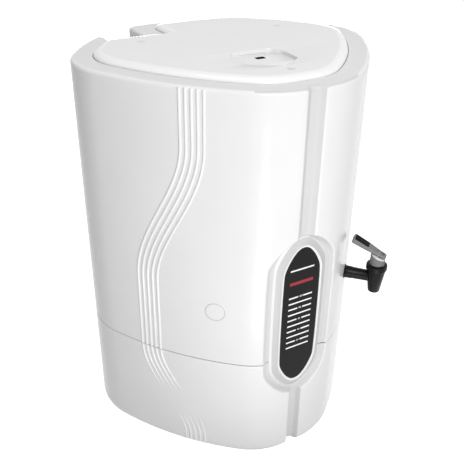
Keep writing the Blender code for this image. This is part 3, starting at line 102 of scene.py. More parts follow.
class Shader:
    """A material's node tree round its Principled shader."""

    noise_range: Point = (0.3, 0.7)
    ramp_range: Point = (0.35, 0.65)

    def __init__(self, name: str) -> None:
        """Starts the material.

        Args:
            name: The material's name.
        """
        self.material = bpy.data.materials.new(name)
        self.material.use_nodes = True
        self.nodes = self.material.node_tree.nodes
        self.links = self.material.node_tree.links
        self.principled = self.nodes["Principled BSDF"]
        self.place = self.nodes.new("ShaderNodeTexCoord").outputs["Object"]

    def new(self, kind: str, **values: float | Sequence[float]) -> bpy.types.Node:
        """A new shader node with constant sockets set."""
        return preset(self.nodes.new(f"ShaderNode{kind}"), **values)

    def mapped(self, **values: Sequence[float]) -> Socket:
        """Object coordinates, scaled or turned.

        Args:
            values: The mapping's Scale or Rotation.

        Returns:
            The vector socket.
        """
        mapping = self.new("Mapping", **values)
        self.links.new(self.place, mapping.inputs["Vector"])
        return mapping.outputs["Vector"]

    def noise(self, scale: float, detail: float = 2.0, vector: Socket | None = None) -> Socket:
        """A noise value from 0 to 1.

        Args:
            scale: Waves per metre.
            detail: Octaves.
            vector: Coordinates, or the object's own.

        Returns:
            The value socket.
        """
        noise = self.new("TexNoise", Scale=scale, Detail=detail)
        self.links.new(vector or self.place, noise.inputs["Vector"])
        return noise.outputs["Fac"]

    def ranged(self, value: Socket, low: float, high: float) -> Socket:
        """Maps a noise value to a range.

        Args:
            value: The value socket.
            low: Result at the noise's low end.
            high: Result at its high end.

        Returns:
            The mapped socket.
        """
        start, end = self.noise_range
        mapping = self.new("MapRange", From_Min=start, From_Max=end, To_Min=low, To_Max=high)
        self.links.new(value, mapping.inputs["Value"])
        return mapping.outputs["Result"]

    def mixed(self, value: Socket, first: Place, second: Place) -> Socket:
        """A colour between two, by a value.

        Args:
            value: The value socket.
            first: Colour at the value's low end.
            second: Colour at its high end.

        Returns:
            The colour socket.
        """
        ramp = self.new("ValToRGB")
        for element, position, colour in zip(ramp.color_ramp.elements, self.ramp_range, (first, second)):
            element.position = position
            element.color = (*colour, 1.0)
        self.links.new(value, ramp.inputs["Fac"])
        return ramp.outputs["Color"]

    def feed(self, socket: Socket, name: str) -> None:
        """Links a socket to one of the Principled shader's inputs."""
        self.links.new(socket, self.principled.inputs[name])

    def bump(self, height: Socket, depth: float) -> None:
        """Adds surface relief, after any relief added before.

        Args:
            height: The height value.
            depth: The relief's depth in metres.
        """
        bump = self.new("Bump", Distance=depth, Strength=1.0)
        before = self.principled.inputs["Normal"].links
        if before:
            self.links.new(before[0].from_socket, bump.inputs["Normal"])
        self.links.new(height, bump.inputs["Height"])
        self.feed(bump.outputs["Normal"], "Normal")


@dataclass(frozen=True)
class Moulding:
    """Injection-moulded plastic: a faint mottle, a fine skin and slow waves of the tool."""

    name: str
    colour: Place
    roughness: float
    slot: str
    specular: float = 0.5
    mottle: float = 0.012
    mottle_scale: float = 11.0
    rough_scale: float = 60.0
    rough_spread: float = 0.1
    wave_scale: float = 14.0
    wave_depth: float = 0.0002
    skin_scale: float = 1400.0
    skin_depth: float = 0.00002

    def make(self) -> bpy.types.Material:
        """Makes the plastic.

        Returns:
            The material.
        """
        shader = Shader(self.name)
        dark, light = (shade(self.colour, 1 + sign * self.mottle) for sign in (-1, 1))
        shader.feed(shader.mixed(shader.noise(self.mottle_scale, 3.0), dark, light), "Base Color")
        low, high = (self.roughness * (1 + sign * self.rough_spread) for sign in (-1, 1))
        shader.feed(shader.ranged(shader.noise(self.rough_scale, 4.0), low, high), "Roughness")
        shader.bump(shader.noise(self.wave_scale, 0.0), self.wave_depth)
        shader.bump(shader.noise(self.skin_scale, 2.0), self.skin_depth)
        preset(shader.principled, Specular_IOR_Level=self.specular)
        return shader.material


@dataclass(frozen=True)
class SoftRubber:
    """Matt rubber with a dusty bloom."""

    name: str
    colour: Place
    slot: str
    roughness: float = 0.75
    dusty: float = 0.9
    bloom_factor: float = 1.7
    bloom_lift: float = 0.004
    bloom_scale: float = 90.0
    rough_scale: float = 200.0
    grain_scale: float = 2500.0
    grain_depth: float = 0.00006

    def make(self) -> bpy.types.Material:
        """Makes the rubber.

        Returns:
            The material.
        """
        shader = Shader(self.name)
        bloom = shade(self.colour, self.bloom_factor, self.bloom_lift)
        shader.feed(shader.mixed(shader.noise(self.bloom_scale, 6.0), self.colour, bloom), "Base Color")
        rough = shader.ranged(shader.noise(self.rough_scale, 3.0), self.roughness, self.dusty)
        shader.feed(rough, "Roughness")
        shader.bump(shader.noise(self.grain_scale, 4.0), self.grain_depth)
        return shader.material


@dataclass(frozen=True)
class TurnedSteel:
    """Stainless steel with fine turning marks."""

    name: str
    colour: Place
    slot: str
    roughness: float = 0.28
    smooth_factor: float = 0.8
    rough_factor: float = 1.25
    dark_factor: float = 0.9
    mark_scale: float = 300.0
    mark_stretch: Place = (1.0, 1.0, 9.0)
    mark_depth: float = 0.00003

    def make(self) -> bpy.types.Material:
        """Makes the steel.

        Returns:
            The material.
        """
        shader = Shader(self.name)
        preset(shader.principled, Metallic=1.0)
        marks = shader.noise(self.mark_scale, 3.0, shader.mapped(Scale=self.mark_stretch))
        shader.feed(shader.mixed(marks, shade(self.colour, self.dark_factor), self.colour), "Base Color")
        low, high = (self.roughness * factor for factor in (self.smooth_factor, self.rough_factor))
        shader.feed(shader.ranged(marks, low, high), "Roughness")
        shader.bump(marks, self.mark_depth)
        return shader.material


@dataclass(frozen=True)
class NaturalPlastic:
    """Milky unpigmented plastic of the vessel."""

    name: str
    colour: Place
    slot: str
    warmth: Place = (1.0, 0.99, 0.96)
    cloud_scale: float = 8.0
    rough_range: Point = (0.38, 0.52)
    rough_scale: float = 45.0
    wave_scale: float = 22.0
    wave_depth: float = 0.0006
    skin_scale: float = 900.0
    skin_depth: float = 0.00004
    milk: float = 0.2
    milk_depth: float = 0.004

    def make(self) -> bpy.types.Material:
        """Makes the plastic.

        Returns:
            The material.
        """
        shader = Shader(self.name)
        warm = tuple(channel * factor for channel, factor in zip(self.colour, self.warmth))
        shader.feed(shader.mixed(shader.noise(self.cloud_scale, 4.0), self.colour, warm), "Base Color")
        shader.feed(shader.ranged(shader.noise(self.rough_scale, 4.0), *self.rough_range), "Roughness")
        shader.bump(shader.noise(self.wave_scale, 1.0), self.wave_depth)
        shader.bump(shader.noise(self.skin_scale, 3.0), self.skin_depth)
        preset(shader.principled, Subsurface_Weight=self.milk, Subsurface_Scale=self.milk_depth)
        return shader.material


@dataclass(frozen=True)
class PrintedBoard:
    """Green lacquered board with fine copper runs under the lacquer."""

    name: str
    colour: Place
    slot: str
    run_scale: float = 170.0
    run_width: float = 0.012
    run_factor: float = 1.6
    run_lift: float = 0.01
    dark_factor: float = 0.85
    run_depth: float = 0.00004
    rough_range: Point = (0.28, 0.42)
    rough_scale: float = 120.0

    def make(self) -> bpy.types.Material:
        """Makes the board's lacquer.

        Returns:
            The material.
        """
        shader = Shader(self.name)
        runs = shader.new("TexBrick", Scale=self.run_scale, Mortar_Size=self.run_width)
        light = shade(self.colour, self.run_factor, self.run_lift)
        dark = shade(self.colour, self.dark_factor)
        preset(runs, Color1=(*self.colour, 1.0), Color2=(*dark, 1.0), Mortar=(*light, 1.0))
        upright = shader.mapped(Rotation=(math.pi / 2, 0.0, 0.0))
        shader.links.new(upright, runs.inputs["Vector"])
        shader.feed(runs.outputs["Color"], "Base Color")
        shader.feed(shader.ranged(shader.noise(self.rough_scale), *self.rough_range), "Roughness")
        shader.bump(runs.outputs["Fac"], self.run_depth)
        return shader.material


class Paint(Enum):
    """Every finish on the reservoir."""

    CASING = Moulding("casing_white", (0.82, 0.82, 0.825), 0.22, "white_casing", 0.16)
    RIM = Moulding("rim_white", (0.715, 0.715, 0.72), 0.32, "white_casing", 0.35)
    # painted shade: a darker, rougher copy of the casing's white for the sunk collar and channel
    RECESS_SHADE = Moulding("recess_painted_shade", (0.65, 0.65, 0.655), 0.42, "white_casing", 0.2)
    # painted shade: a darker copy of the bezel's white for its sloped flank
    FLANK_SHADE = Moulding("bezel_flank_painted_shade", (0.58, 0.58, 0.585), 0.40, "white_casing", 0.2)
    # painted shade: near-black for the lip and tongue seen through the seam's gap
    SEAM_SHADE = Moulding("seam_painted_shade", (0.08, 0.08, 0.083), 0.55, "white_casing", 0.1)
    # painted shade: a grey ring for the gap round the blank cover
    PLUG_GAP_SHADE = Moulding("plug_gap_painted_shade", (0.42, 0.42, 0.425), 0.50, "white_casing", 0.2)
    RIB = Moulding("rib_white", (0.84, 0.84, 0.845), 0.18, "white_casing")
    BEZEL = Moulding("bezel_white", (0.84, 0.84, 0.845), 0.20, "white_casing")
    LID = Moulding("lid_white", (0.84, 0.84, 0.845), 0.24, "lid_white", 0.35)
    # painted highlight: a lighter copy of the lid's white for its rounded edge, with a glossier finish
    LID_EDGE_HIGHLIGHT = Moulding("lid_edge_painted_highlight", (0.88, 0.88, 0.885), 0.16, "lid_white")
    # painted shade: black for the walls inside the vent's slot
    SLOT_SHADE = Moulding("slot_painted_shade", (0.003, 0.003, 0.003), 0.60, "lid_white", 0.05)
    WHITE_PART = Moulding("fitting_white", (0.80, 0.80, 0.80), 0.30, "lid_white")
    PANEL = Moulding("panel_black", (0.006, 0.006, 0.0065), 0.24, "display_black", 0.12)
    PANEL_EDGE = Moulding("panel_border_black", (0.004, 0.004, 0.0045), 0.30, "display_black", 0.15)
    BAR = Moulding("bar_white", (0.86, 0.86, 0.86), 0.42, "bar_white")
    ALARM = Moulding("bar_red", (0.120, 0.010, 0.018), 0.50, "bar_red", 0.2)
    BLACK = Moulding("tap_black", (0.004, 0.004, 0.0045), 0.34, "black_moulding", 0.14, skin_depth=0.00004)
    PAD = Moulding("lever_pad_black", (0.002, 0.002, 0.0022), 0.50, "tap_grey", 0.08, skin_depth=0.00006)
    GREY = Moulding("tap_grey", (0.12, 0.12, 0.123), 0.34, "tap_grey", skin_depth=0.00004)
    BLUE = Moulding("fitting_blue", (0.035, 0.10, 0.34), 0.32, "fitting_blue")
    RUBBER = SoftRubber("foot_rubber", (0.018, 0.018, 0.019), "rubber")
    SILICONE = SoftRubber("seal_silicone", (0.50, 0.50, 0.48), "silicone", 0.5)
    STEEL = TurnedSteel("screw_steel", (0.62, 0.62, 0.61), "screw_steel")
    TANK = NaturalPlastic("tank_natural", (0.74, 0.76, 0.76), "tank_natural")
    BOARD = PrintedBoard("board_green", (0.012, 0.11, 0.035), "board_green")

    def material(self) -> bpy.types.Material:
        """The finish's material, made once."""
        return bpy.data.materials.get(self.value.name) or self.value.make()


# Plane shapes


def bent(start: Vector, bend: Vector, end: Vector, share: float) -> Vector:
    """The point at a share of a curve from start to end that a bend draws aside."""
    return start * (1 - share) ** 2 + bend * 2 * share * (1 - share) + end * share**2


def rounded(points: Sequence[Point], radius: float, steps: int = 6, most_share: float = 0.48) -> list[Point]:
    """A closed outline with each corner turned into a short curve.

    Args:
        points: The corners, in order.
        radius: How far from a corner its curve starts.
        steps: Straight steps in each curve.
        most_share: The largest share of a side that a curve takes.

    Returns:
        The points of the rounded outline.
    """
    made = []
    for index, corner in enumerate(points):
        here = Vector(corner)
        start, end = (
            here + (side - here).normalized() * min(radius, (side - here).length * most_share)
            for side in (Vector(points[index - 1]), Vector(points[(index + 1) % len(points)]))
        )
        made += [tuple(bent(start, here, end, step / steps)) for step in range(steps + 1)]
    return made


def cornered(points: Sequence[Point], rounds: int, cut_share: float = 0.25) -> list[Point]:
    """A closed outline smoothed by cutting its corners again and again.

    Args:
        points: The corners, in order.
        rounds: How many times they are cut.
        cut_share: The share of a side that a cut takes.

    Returns:
        The points of the smoothed outline.
    """
    loop = np.array(points)
    for _ in range(rounds):
        after = np.roll(loop, -1, axis=0)
        near = loop * (1 - cut_share) + after * cut_share
        far = loop * cut_share + after * (1 - cut_share)
        loop = np.stack((near, far), axis=1).reshape(-1, 2)
    return [tuple(p) for p in loop]


def arc(centre: Point, radius: float, start: float, end: float, steps: int = 10) -> list[Point]:
    """Points on an arc between two angles in radians, both ends in."""
    turns = np.linspace(start, end, steps + 1)
    return [(centre[0] + radius * math.cos(a), centre[1] + radius * math.sin(a)) for a in turns]


def circle(radius: float, centre: Point = (0.0, 0.0), steps: int = 48) -> list[Point]:
    """Points round a circle, anticlockwise."""
    turns = [2 * math.pi * index / steps for index in range(steps)]
    return [(centre[0] + radius * math.cos(a), centre[1] + radius * math.sin(a)) for a in turns]


def quarter(inset: float, rise: float, steps: int) -> list[Point]:
    """Pairs of inset and rise along a rounded edge, from the wall to the level top."""
    turns = [math.pi / 2 * step / steps for step in range(steps + 1)]
    return [(inset * (1 - math.cos(turn)), rise * math.sin(turn)) for turn in turns]


def box_loop(low: Point, high: Point, radius: float, steps: int = 6) -> list[Point]:
    """A rectangle with rounded corners, anticlockwise from its low corner."""
    return rounded([low, (high[0], low[1]), high, (low[0], high[1])], radius, steps)


def level(loop: Sequence[Point], height: float) -> list[Place]:
    """An outline in X and Y as points at one height."""
    return [(x, y, height) for x, y in loop]


def inside_depth(points: np.ndarray, loop: Sequence[Point]) -> np.ndarray:
    """How far each point lies inside an outline; negative outside.

    Args:
        points: An array of shape (n, 2).
        loop: The outline.

    Returns:
        The n distances.
    """
    start = np.array(loop)
    end = np.roll(start, -1, axis=0)
    way = end - start
    least = np.full(len(points), np.inf)
    crossings = np.zeros(len(points), dtype=int)
    for (ax, ay), (_, by), (wx, wy) in zip(start, end, way):
        dx, dy = points[:, 0] - ax, points[:, 1] - ay
        share = np.clip((dx * wx + dy * wy) / (wx * wx + wy * wy), 0, 1)
        least = np.minimum(least, np.hypot(dx - share * wx, dy - share * wy))
        if ay != by:
            between = (ay > points[:, 1]) != (by > points[:, 1])
            crossings += between & (dx < (points[:, 1] - ay) / (by - ay) * wx)
    return np.where(crossings % 2 == 1, least, -least)


def eased(share: np.ndarray) -> np.ndarray:
    """0 to 1 with level ends."""
    share = np.clip(share, 0, 1)
    return share * share * (3 - 2 * share)


# Skins


class Skin:
    """A mesh put together from lofts and flat fills that share points."""

    weld: float = 2e-6
    sliver: float = 1e-7

    def __init__(self, name: str, body: Body, paint: Paint) -> None:
        """Starts an empty skin, with the piece's name, what it rides on and its finish."""
        self.name, self.body, self.paint = name, body, paint
        self.shape = bmesh.new()

    def ring(self, points: Sequence[Sequence[float]]) -> list[bmesh.types.BMVert]:
        """Adds points and returns their vertices."""
        return [self.shape.verts.new(p) for p in points]

    def loft(
        self,
        rings: Sequence[Sequence[Sequence[float]]],
        closed: bool = True,
        skip: Callable[[int, int], bool] = lambda row, column: False,
    ) -> list[list[bmesh.types.BMVert]]:
        """Joins rings of points in order with quads, leaving out chosen cells.

        Args:
            rings: The rings' points.
            closed: Whether each ring is closed.
            skip: Says of a row and column whether the cell stays open.

        Returns:
            The vertices of each ring.
        """
        rows = [self.ring(points) for points in rings]
        for row, (first, second) in enumerate(zip(rows, rows[1:])):
            for index in range(len(first) if closed else len(first) - 1):
                if not skip(row, index):
                    after = (index + 1) % len(first)
                    self.shape.faces.new((first[index], first[after], second[after], second[index]))
        return rows

    def fill(self, loops: Sequence[Sequence[Point]], height: float) -> None:
        """A flat level face with holes.

        Args:
            loops: The outline, then any holes.
            height: Its Z.
        """
        flat = [[Vector((x, y, 0.0)) for x, y in loop] for loop in loops]
        points = self.ring([place for loop in loops for place in level(loop, height)])
        for corners in tessellate_polygon(flat):
            if len({points[i] for i in corners}) == 3:
                self.shape.faces.new([points[i] for i in corners])

    def done(self, *nodes: str, angle: float = 40.0, place: Matrix | None = None) -> bpy.types.Object:
        """Makes the piece, dressed and riding on its body.

        Args:
            nodes: The solids that it stands for.
            angle: Edges sharper than this many degrees stay sharp.
            place: Where the skin's own frame lies.

        Returns:
            The object.
        """
        shape = self.shape
        loose = [v for v in shape.verts if not v.link_faces]
        bmesh.ops.delete(shape, geom=loose, context="VERTS")
        bmesh.ops.remove_doubles(shape, verts=shape.verts, dist=self.weld)
        bmesh.ops.dissolve_degenerate(shape, edges=shape.edges, dist=self.sliver)
        bmesh.ops.recalc_face_normals(shape, faces=shape.faces)
        if place is not None:
            bmesh.ops.transform(shape, matrix=place, verts=shape.verts)
        mesh = bpy.data.meshes.new(self.name)
        shape.to_mesh(mesh)
        shape.free()
        mesh.shade_smooth()
        mesh.set_sharp_from_angle(angle=math.radians(angle))
        return dress(bpy.data.objects.new(self.name, mesh), self.body, self.paint, *nodes)


def dress(piece: bpy.types.Object, body: Body, paint: Paint, *nodes: str) -> bpy.types.Object:
    """Puts a piece in the scene with its finish, on its body.

    Args:
        piece: The object.
        body: What it rides on.
        paint: Its finish.
        nodes: The solids that it stands for.

    Returns:
        The same object.
    """
    bpy.context.scene.collection.objects.link(piece)
    piece.data.materials.clear()
    piece.data.materials.append(paint.material())
    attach(piece, body.value)
    if nodes:
        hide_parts(*nodes)
    LOG.info("%s on %s, %s", piece.name, body.value, paint.value.name)
    return piece


def sweep(
    skin: Skin, path: np.ndarray, radius: float, sides: int = 12, aside: Place = (0.0, 1.0, 0.3)
) -> None:
    """Adds a round tube with closed ends to a skin.

    Args:
        skin: Where the tube goes.
        path: Its middle line, of shape (n, 3).
        radius: The tube's radius.
        sides: Points round the tube.
        aside: Any direction that the path's start doesn't run along.
    """
    way = np.gradient(path, axis=0)
    way /= np.linalg.norm(way, axis=1, keepdims=True)
    side = np.cross(way[0], aside)
    turns = np.linspace(0, 2 * math.pi, sides, endpoint=False)
    rings = []
    for point, along in zip(path, way):
        side = side - along * side.dot(along)
        side /= np.linalg.norm(side)
        other = np.cross(along, side)
        rings.append(point + radius * (np.outer(np.cos(turns), side) + np.outer(np.sin(turns), other)))
    rows = skin.loft(rings)
    skin.shape.faces.new(rows[0][::-1])
    skin.shape.faces.new(rows[-1])


def turned(skin: Skin, profile: Sequence[Point], steps: int) -> None:
    """Adds a profile of radius and height, turned about Z, to a skin."""
    skin.loft([level(circle(radius, steps=steps), height) for radius, height in profile])


# Sizes that several pieces share


@dataclass
class Plan:
    """The casing's plan: a short straight front, then five arcs to the middle of the rear."""

    width: float = 0.376
    depth: float = 0.337
    straight_share: float = 0.030
    arc_shares: tuple[Point, ...] = (
        (0.248, 36.6), (0.949, 24.7), (0.176, 61.9), (0.647, 19.5), (0.351, 37.3),
    )
    steps: int = 90
    samples: int = 2400
    blur: int = 24
    halvings: int = 50
    shift: float = field(init=False)
    places: np.ndarray = field(init=False)
    points: np.ndarray = field(init=False)
    ways: np.ndarray = field(init=False)

    def __post_init__(self) -> None:
        """Works out where the solids' frame puts the plan, and its dense half outline."""
        self.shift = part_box("upper_housing")[1][1] - self.depth / 2
        x, y, heading = self.straight_share, 0.0, 0.0
        half = [(0.0, 0.0), (x, y)]
        for radius, turn in self.arc_shares:
            step = math.radians(turn) / self.steps
            chord = 2 * radius * math.sin(step / 2)
            for _ in range(self.steps):
                x += chord * math.cos(heading + step / 2)
                y += chord * math.sin(heading + step / 2)
                heading += step
                half.append((x, y))
        line = np.array([*half, (0.0, y)])
        line[:, 0] *= self.width / 2 / line[:, 0].max()
        line[:, 1] *= self.depth / y
        line[:, 1] += self.front
        places = np.concatenate(([0.0], np.cumsum(np.hypot(*np.diff(line, axis=0).T))))
        self.places = np.linspace(0.0, places[-1], self.samples)
        self.points = np.stack([np.interp(self.places, places, line[:, i]) for i in (0, 1)], axis=1)
        self.ways = np.gradient(self.points, self.places, axis=0)
        kernel = np.hanning(self.blur + 1) / np.hanning(self.blur + 1).sum()
        for axis, sign in ((0, 1), (1, -1)):
            left = sign * self.ways[self.blur : 0 : -1, axis]
            right = sign * self.ways[-2 : -self.blur - 2 : -1, axis]
            padded = np.concatenate((left, self.ways[:, axis], right))
            self.ways[:, axis] = np.convolve(padded, kernel, mode="same")[self.blur : -self.blur]
        self.ways /= np.linalg.norm(self.ways, axis=1, keepdims=True)

    @property
    def front(self) -> float:
        """The Y of the front's middle."""
        return self.shift - self.depth / 2

    @property
    def half_length(self) -> float:
        """The distance round the plan from the front's middle to the rear's."""
        return float(self.places[-1])

    def sample(self, places: Sequence[float] | np.ndarray, inset: np.ndarray | float = 0.0) -> np.ndarray:
        """Points at distances round the plan from the front's middle, positive to the right.

        Args:
            places: The distances.
            inset: How far inside the plan.

        Returns:
            An array of shape (n, 2).
        """
        places = np.asarray(places, float)
        side = np.where(places < 0, -1.0, 1.0)
        point, way = (
            [np.interp(np.abs(places), self.places, table[:, i]) for i in (0, 1)]
            for table in (self.points, self.ways)
        )
        length = np.hypot(*way)
        x = (point[0] - way[1] / length * inset) * side
        y = point[1] + way[0] / length * inset
        return np.stack((x, y), axis=1)

    def bearing(self, place: float) -> float:
        """The wall's outward direction at a place, in radians."""
        across, along = self.sample([place], -PROBE)[0] - self.sample([place])[0]
        return math.atan2(along, across)

    def crossing(self, shares: Point, axis: int, wanted: float, inset: float = 0.0) -> float:
        """The place where the plan passes a coordinate.

        Args:
            shares: Where the search starts and ends, as shares of the half length.
            axis: 0 for X, 1 for Y.
            wanted: The coordinate.
            inset: How far inside the plan.

        Returns:
            The place.
        """
        low, high = (share * self.half_length for share in shares)
        past = self.sample([low], inset)[0][axis] > wanted
        for _ in range(self.halvings):
            middle = (low + high) / 2
            if (self.sample([middle], inset)[0][axis] > wanted) == past:
                low = middle
            else:
                high = middle
        return (low + high) / 2


@dataclass
class Heights:
    """Levels that the casing, lid and base share."""

    floor: float = 0.003
    seam: float = 0.151
    seam_gap: float = 0.0012
    rim: float = 0.493
    rim_plate: float = 0.006
    rebate: float = 0.0025
    lid_top: float = 0.499
    pocket_floor: float = 0.443


@dataclass
class SixSided:
    """The display's tall six-sided outline."""

    shares: tuple[Point, ...] = ((0.00, 0.0), (0.30, 0.012), (0.62, 0.060), (0.90, 0.130), (1.00, 0.185))
    rounds: int = 3

    def outline(self, width: float, bottom: float, top: float) -> list[Point]:
        """The outline in X and Z, smoothed, anticlockwise from the bottom.

        Args:
            width: Full width.
            bottom: Lowest Z.
            top: Highest Z.

        Returns:
            Its points.
        """
        up = [*self.shares, *((x, 1 - z) for x, z in reversed(self.shares))]
        right = [(width / 2 * x, bottom + (top - bottom) * z) for x, z in up]
        return cornered(right + [(-x, z) for x, z in reversed(right[1:-1])], self.rounds)


@dataclass
class FrontRelief:
    """The sunk collar round the display and the channel above and below it."""

    plan: Plan
    collar_width: float = 0.101
    collar_bottom: float = 0.094
    collar_top: float = 0.325
    collar_depth: float = 0.0098
    collar_slope: float = 0.0070
    channel_half: float = 0.0140
    channel_slope: float = 0.0105
    channel_depth: float = 0.0064
    foot_half: float = 0.0100
    foot_slope: float = 0.0065
    foot_depth: float = 0.0070
    middle: float = 0.21
    blend: int = 4

    def depth(self, places: np.ndarray, heights: np.ndarray) -> np.ndarray:
        """How deep the surface lies below the plan.

        Args:
            places: Distances round the plan from the front's middle.
            heights: Z values, one for each place.

        Returns:
            The depths.
        """
        outline = SixSided().outline(self.collar_width, self.collar_bottom, self.collar_top)
        inside = inside_depth(np.stack((places, heights), axis=1), outline)
        wall = self.plan.sample(places)[:, 1]
        facing = (self.plan.sample(places, PROBE)[:, 1] - wall) / PROBE
        floor = self.plan.front + self.collar_depth
        collar = np.maximum(floor - wall, 0.0) / facing * eased(inside / self.collar_slope)
        away = np.abs(places)
        upper = self.channel_depth * eased((self.channel_half - away) / self.channel_slope)
        lower = self.foot_depth * eased((self.foot_half - away) / self.foot_slope)
        channel = np.where(heights > self.middle, upper, lower)
        return (collar**self.blend + channel**self.blend) ** (1 / self.blend)


@dataclass
class LidOutline:
    """The lid's outline, with rounded corners at the cut for the hoses."""

    plan: Plan
    inset: float = 0.026
    cut_x: float = -0.044
    cut_y: float = 0.091
    rear_radius: float = 0.014
    left_radius: float = 0.018
    inner_radius: float = 0.005
    rear_shares: Point = (-1.0, -0.72)
    left_shares: Point = (-0.82, -0.45)
    right_steps: int = 260
    rear_steps: int = 26
    left_steps: int = 170
    down_steps: int = 6
    across_steps: int = 30
    inner_steps: int = 8

    def parts(self, grow: float) -> list[Sequence[Point]]:
        """The outline in seven stretches, anticlockwise from the front's middle.

        Args:
            grow: How far inside the lid's edge; negative outside it.

        Returns:
            The main curve, rear corner, cut, inner corner, cut, left corner and left curve.
        """
        plan, half = self.plan, self.plan.half_length
        cut_y, depth = self.cut_y + plan.shift, self.inset + grow
        rear_in, left_in = self.inset + self.rear_radius, self.inset + self.left_radius
        rear = plan.crossing(self.rear_shares, 0, self.cut_x + self.rear_radius, rear_in)
        left = plan.crossing(self.left_shares, 1, cut_y - self.left_radius, left_in)
        main = [*plan.sample(np.linspace(0, half, self.right_steps), depth)]
        main += [*plan.sample(np.linspace(-half, rear, self.rear_steps)[1:], depth)]
        rear_centre, left_centre = plan.sample([rear], rear_in)[0], plan.sample([left], left_in)[0]
        corner = arc(rear_centre, self.rear_radius - grow, plan.bearing(rear), math.pi)
        x, y = self.cut_x + grow, cut_y - grow
        inner_x, inner_y = self.cut_x - self.inner_radius, cut_y + self.inner_radius
        down = [(x, v) for v in np.linspace(rear_centre[1], inner_y, self.down_steps)[1:-1]]
        turn = arc((inner_x, inner_y), self.inner_radius + grow, 0.0, -math.pi / 2, self.inner_steps)
        across = [(v, y) for v in np.linspace(inner_x, left_centre[0], self.across_steps)[1:-1]]
        end = plan.bearing(left) % (2 * math.pi)
        bend = arc(left_centre, self.left_radius - grow, math.pi / 2, end)
        side = [*plan.sample(np.linspace(left, 0, self.left_steps)[1:-1], depth)]
        return [main, corner, down, turn, across, bend, side]

    def flat(self, grow: float) -> list[Point]:
        """The whole outline in X and Y."""
        return [(x, y) for part in self.parts(grow) for x, y in part]

    def ring(self, grow: float, height: float) -> list[Place]:
        """The whole outline at one height."""
        return level(self.flat(grow), height)


@dataclass
class Pocket:
    """The hose pocket's outline: the notch that it cuts in the casing's rear left."""

    plan: Plan
    left_x: float = -0.116
    right_x: float = -0.070
    front_y: float = 0.091
    inner_x: float = -0.050
    curve_y: float = 0.134
    corner: float = 0.007
    bend_share: float = 0.55
    outer_shares: Point = (-1.0, -0.62)
    curve_steps: int = 8
    wall_steps: tuple[int, int, int] = (6, 12, 8)

    def tangents(self) -> tuple[float, float]:
        """The places on the plan where the left and right outer corners begin."""
        starts = (self.left_x - self.corner, self.right_x + self.corner)
        return tuple(self.plan.crossing(self.outer_shares, 0, x, self.corner) for x in starts)

    def path(self, grow: float) -> list[Point]:
        """The notch from the right outer corner round to the left one.

        Args:
            grow: How far outside the notch, into the rim.

        Returns:
            Its points.
        """
        plan, radius = self.plan, self.corner - grow
        left, right = self.tangents()
        curve_y, front_y = self.curve_y + plan.shift, self.front_y + plan.shift
        left_centre, right_centre = plan.sample([left, right], self.corner)
        right_steps, front_steps, left_steps = self.wall_steps
        made = arc(right_centre, radius, plan.bearing(right), math.pi)
        made += [(self.right_x + grow, y) for y in np.linspace(right_centre[1], curve_y, right_steps)[1:]]
        start, end = Vector((self.right_x, curve_y)), Vector((self.inner_x, front_y))
        bend = Vector((self.right_x, curve_y - (curve_y - front_y) * self.bend_share))
        for step in range(1, self.curve_steps):
            share = step / self.curve_steps
            here = bent(start, bend, end, share)
            way = ((bend - start) * (1 - share) + (end - bend) * share).normalized()
            made.append((here.x - way.y * grow, here.y + way.x * grow))
        way = (end - bend).normalized()
        made.append((end.x - way.y * grow, front_y - grow))
        made += [(x, front_y - grow) for x in np.linspace(self.inner_x, self.left_x - grow, front_steps)[1:]]
        made += [(self.left_x - grow, y) for y in np.linspace(front_y, left_centre[1], left_steps)[1:-1]]
        return made + arc(left_centre, radius, 0.0, plan.bearing(left))


# Casing


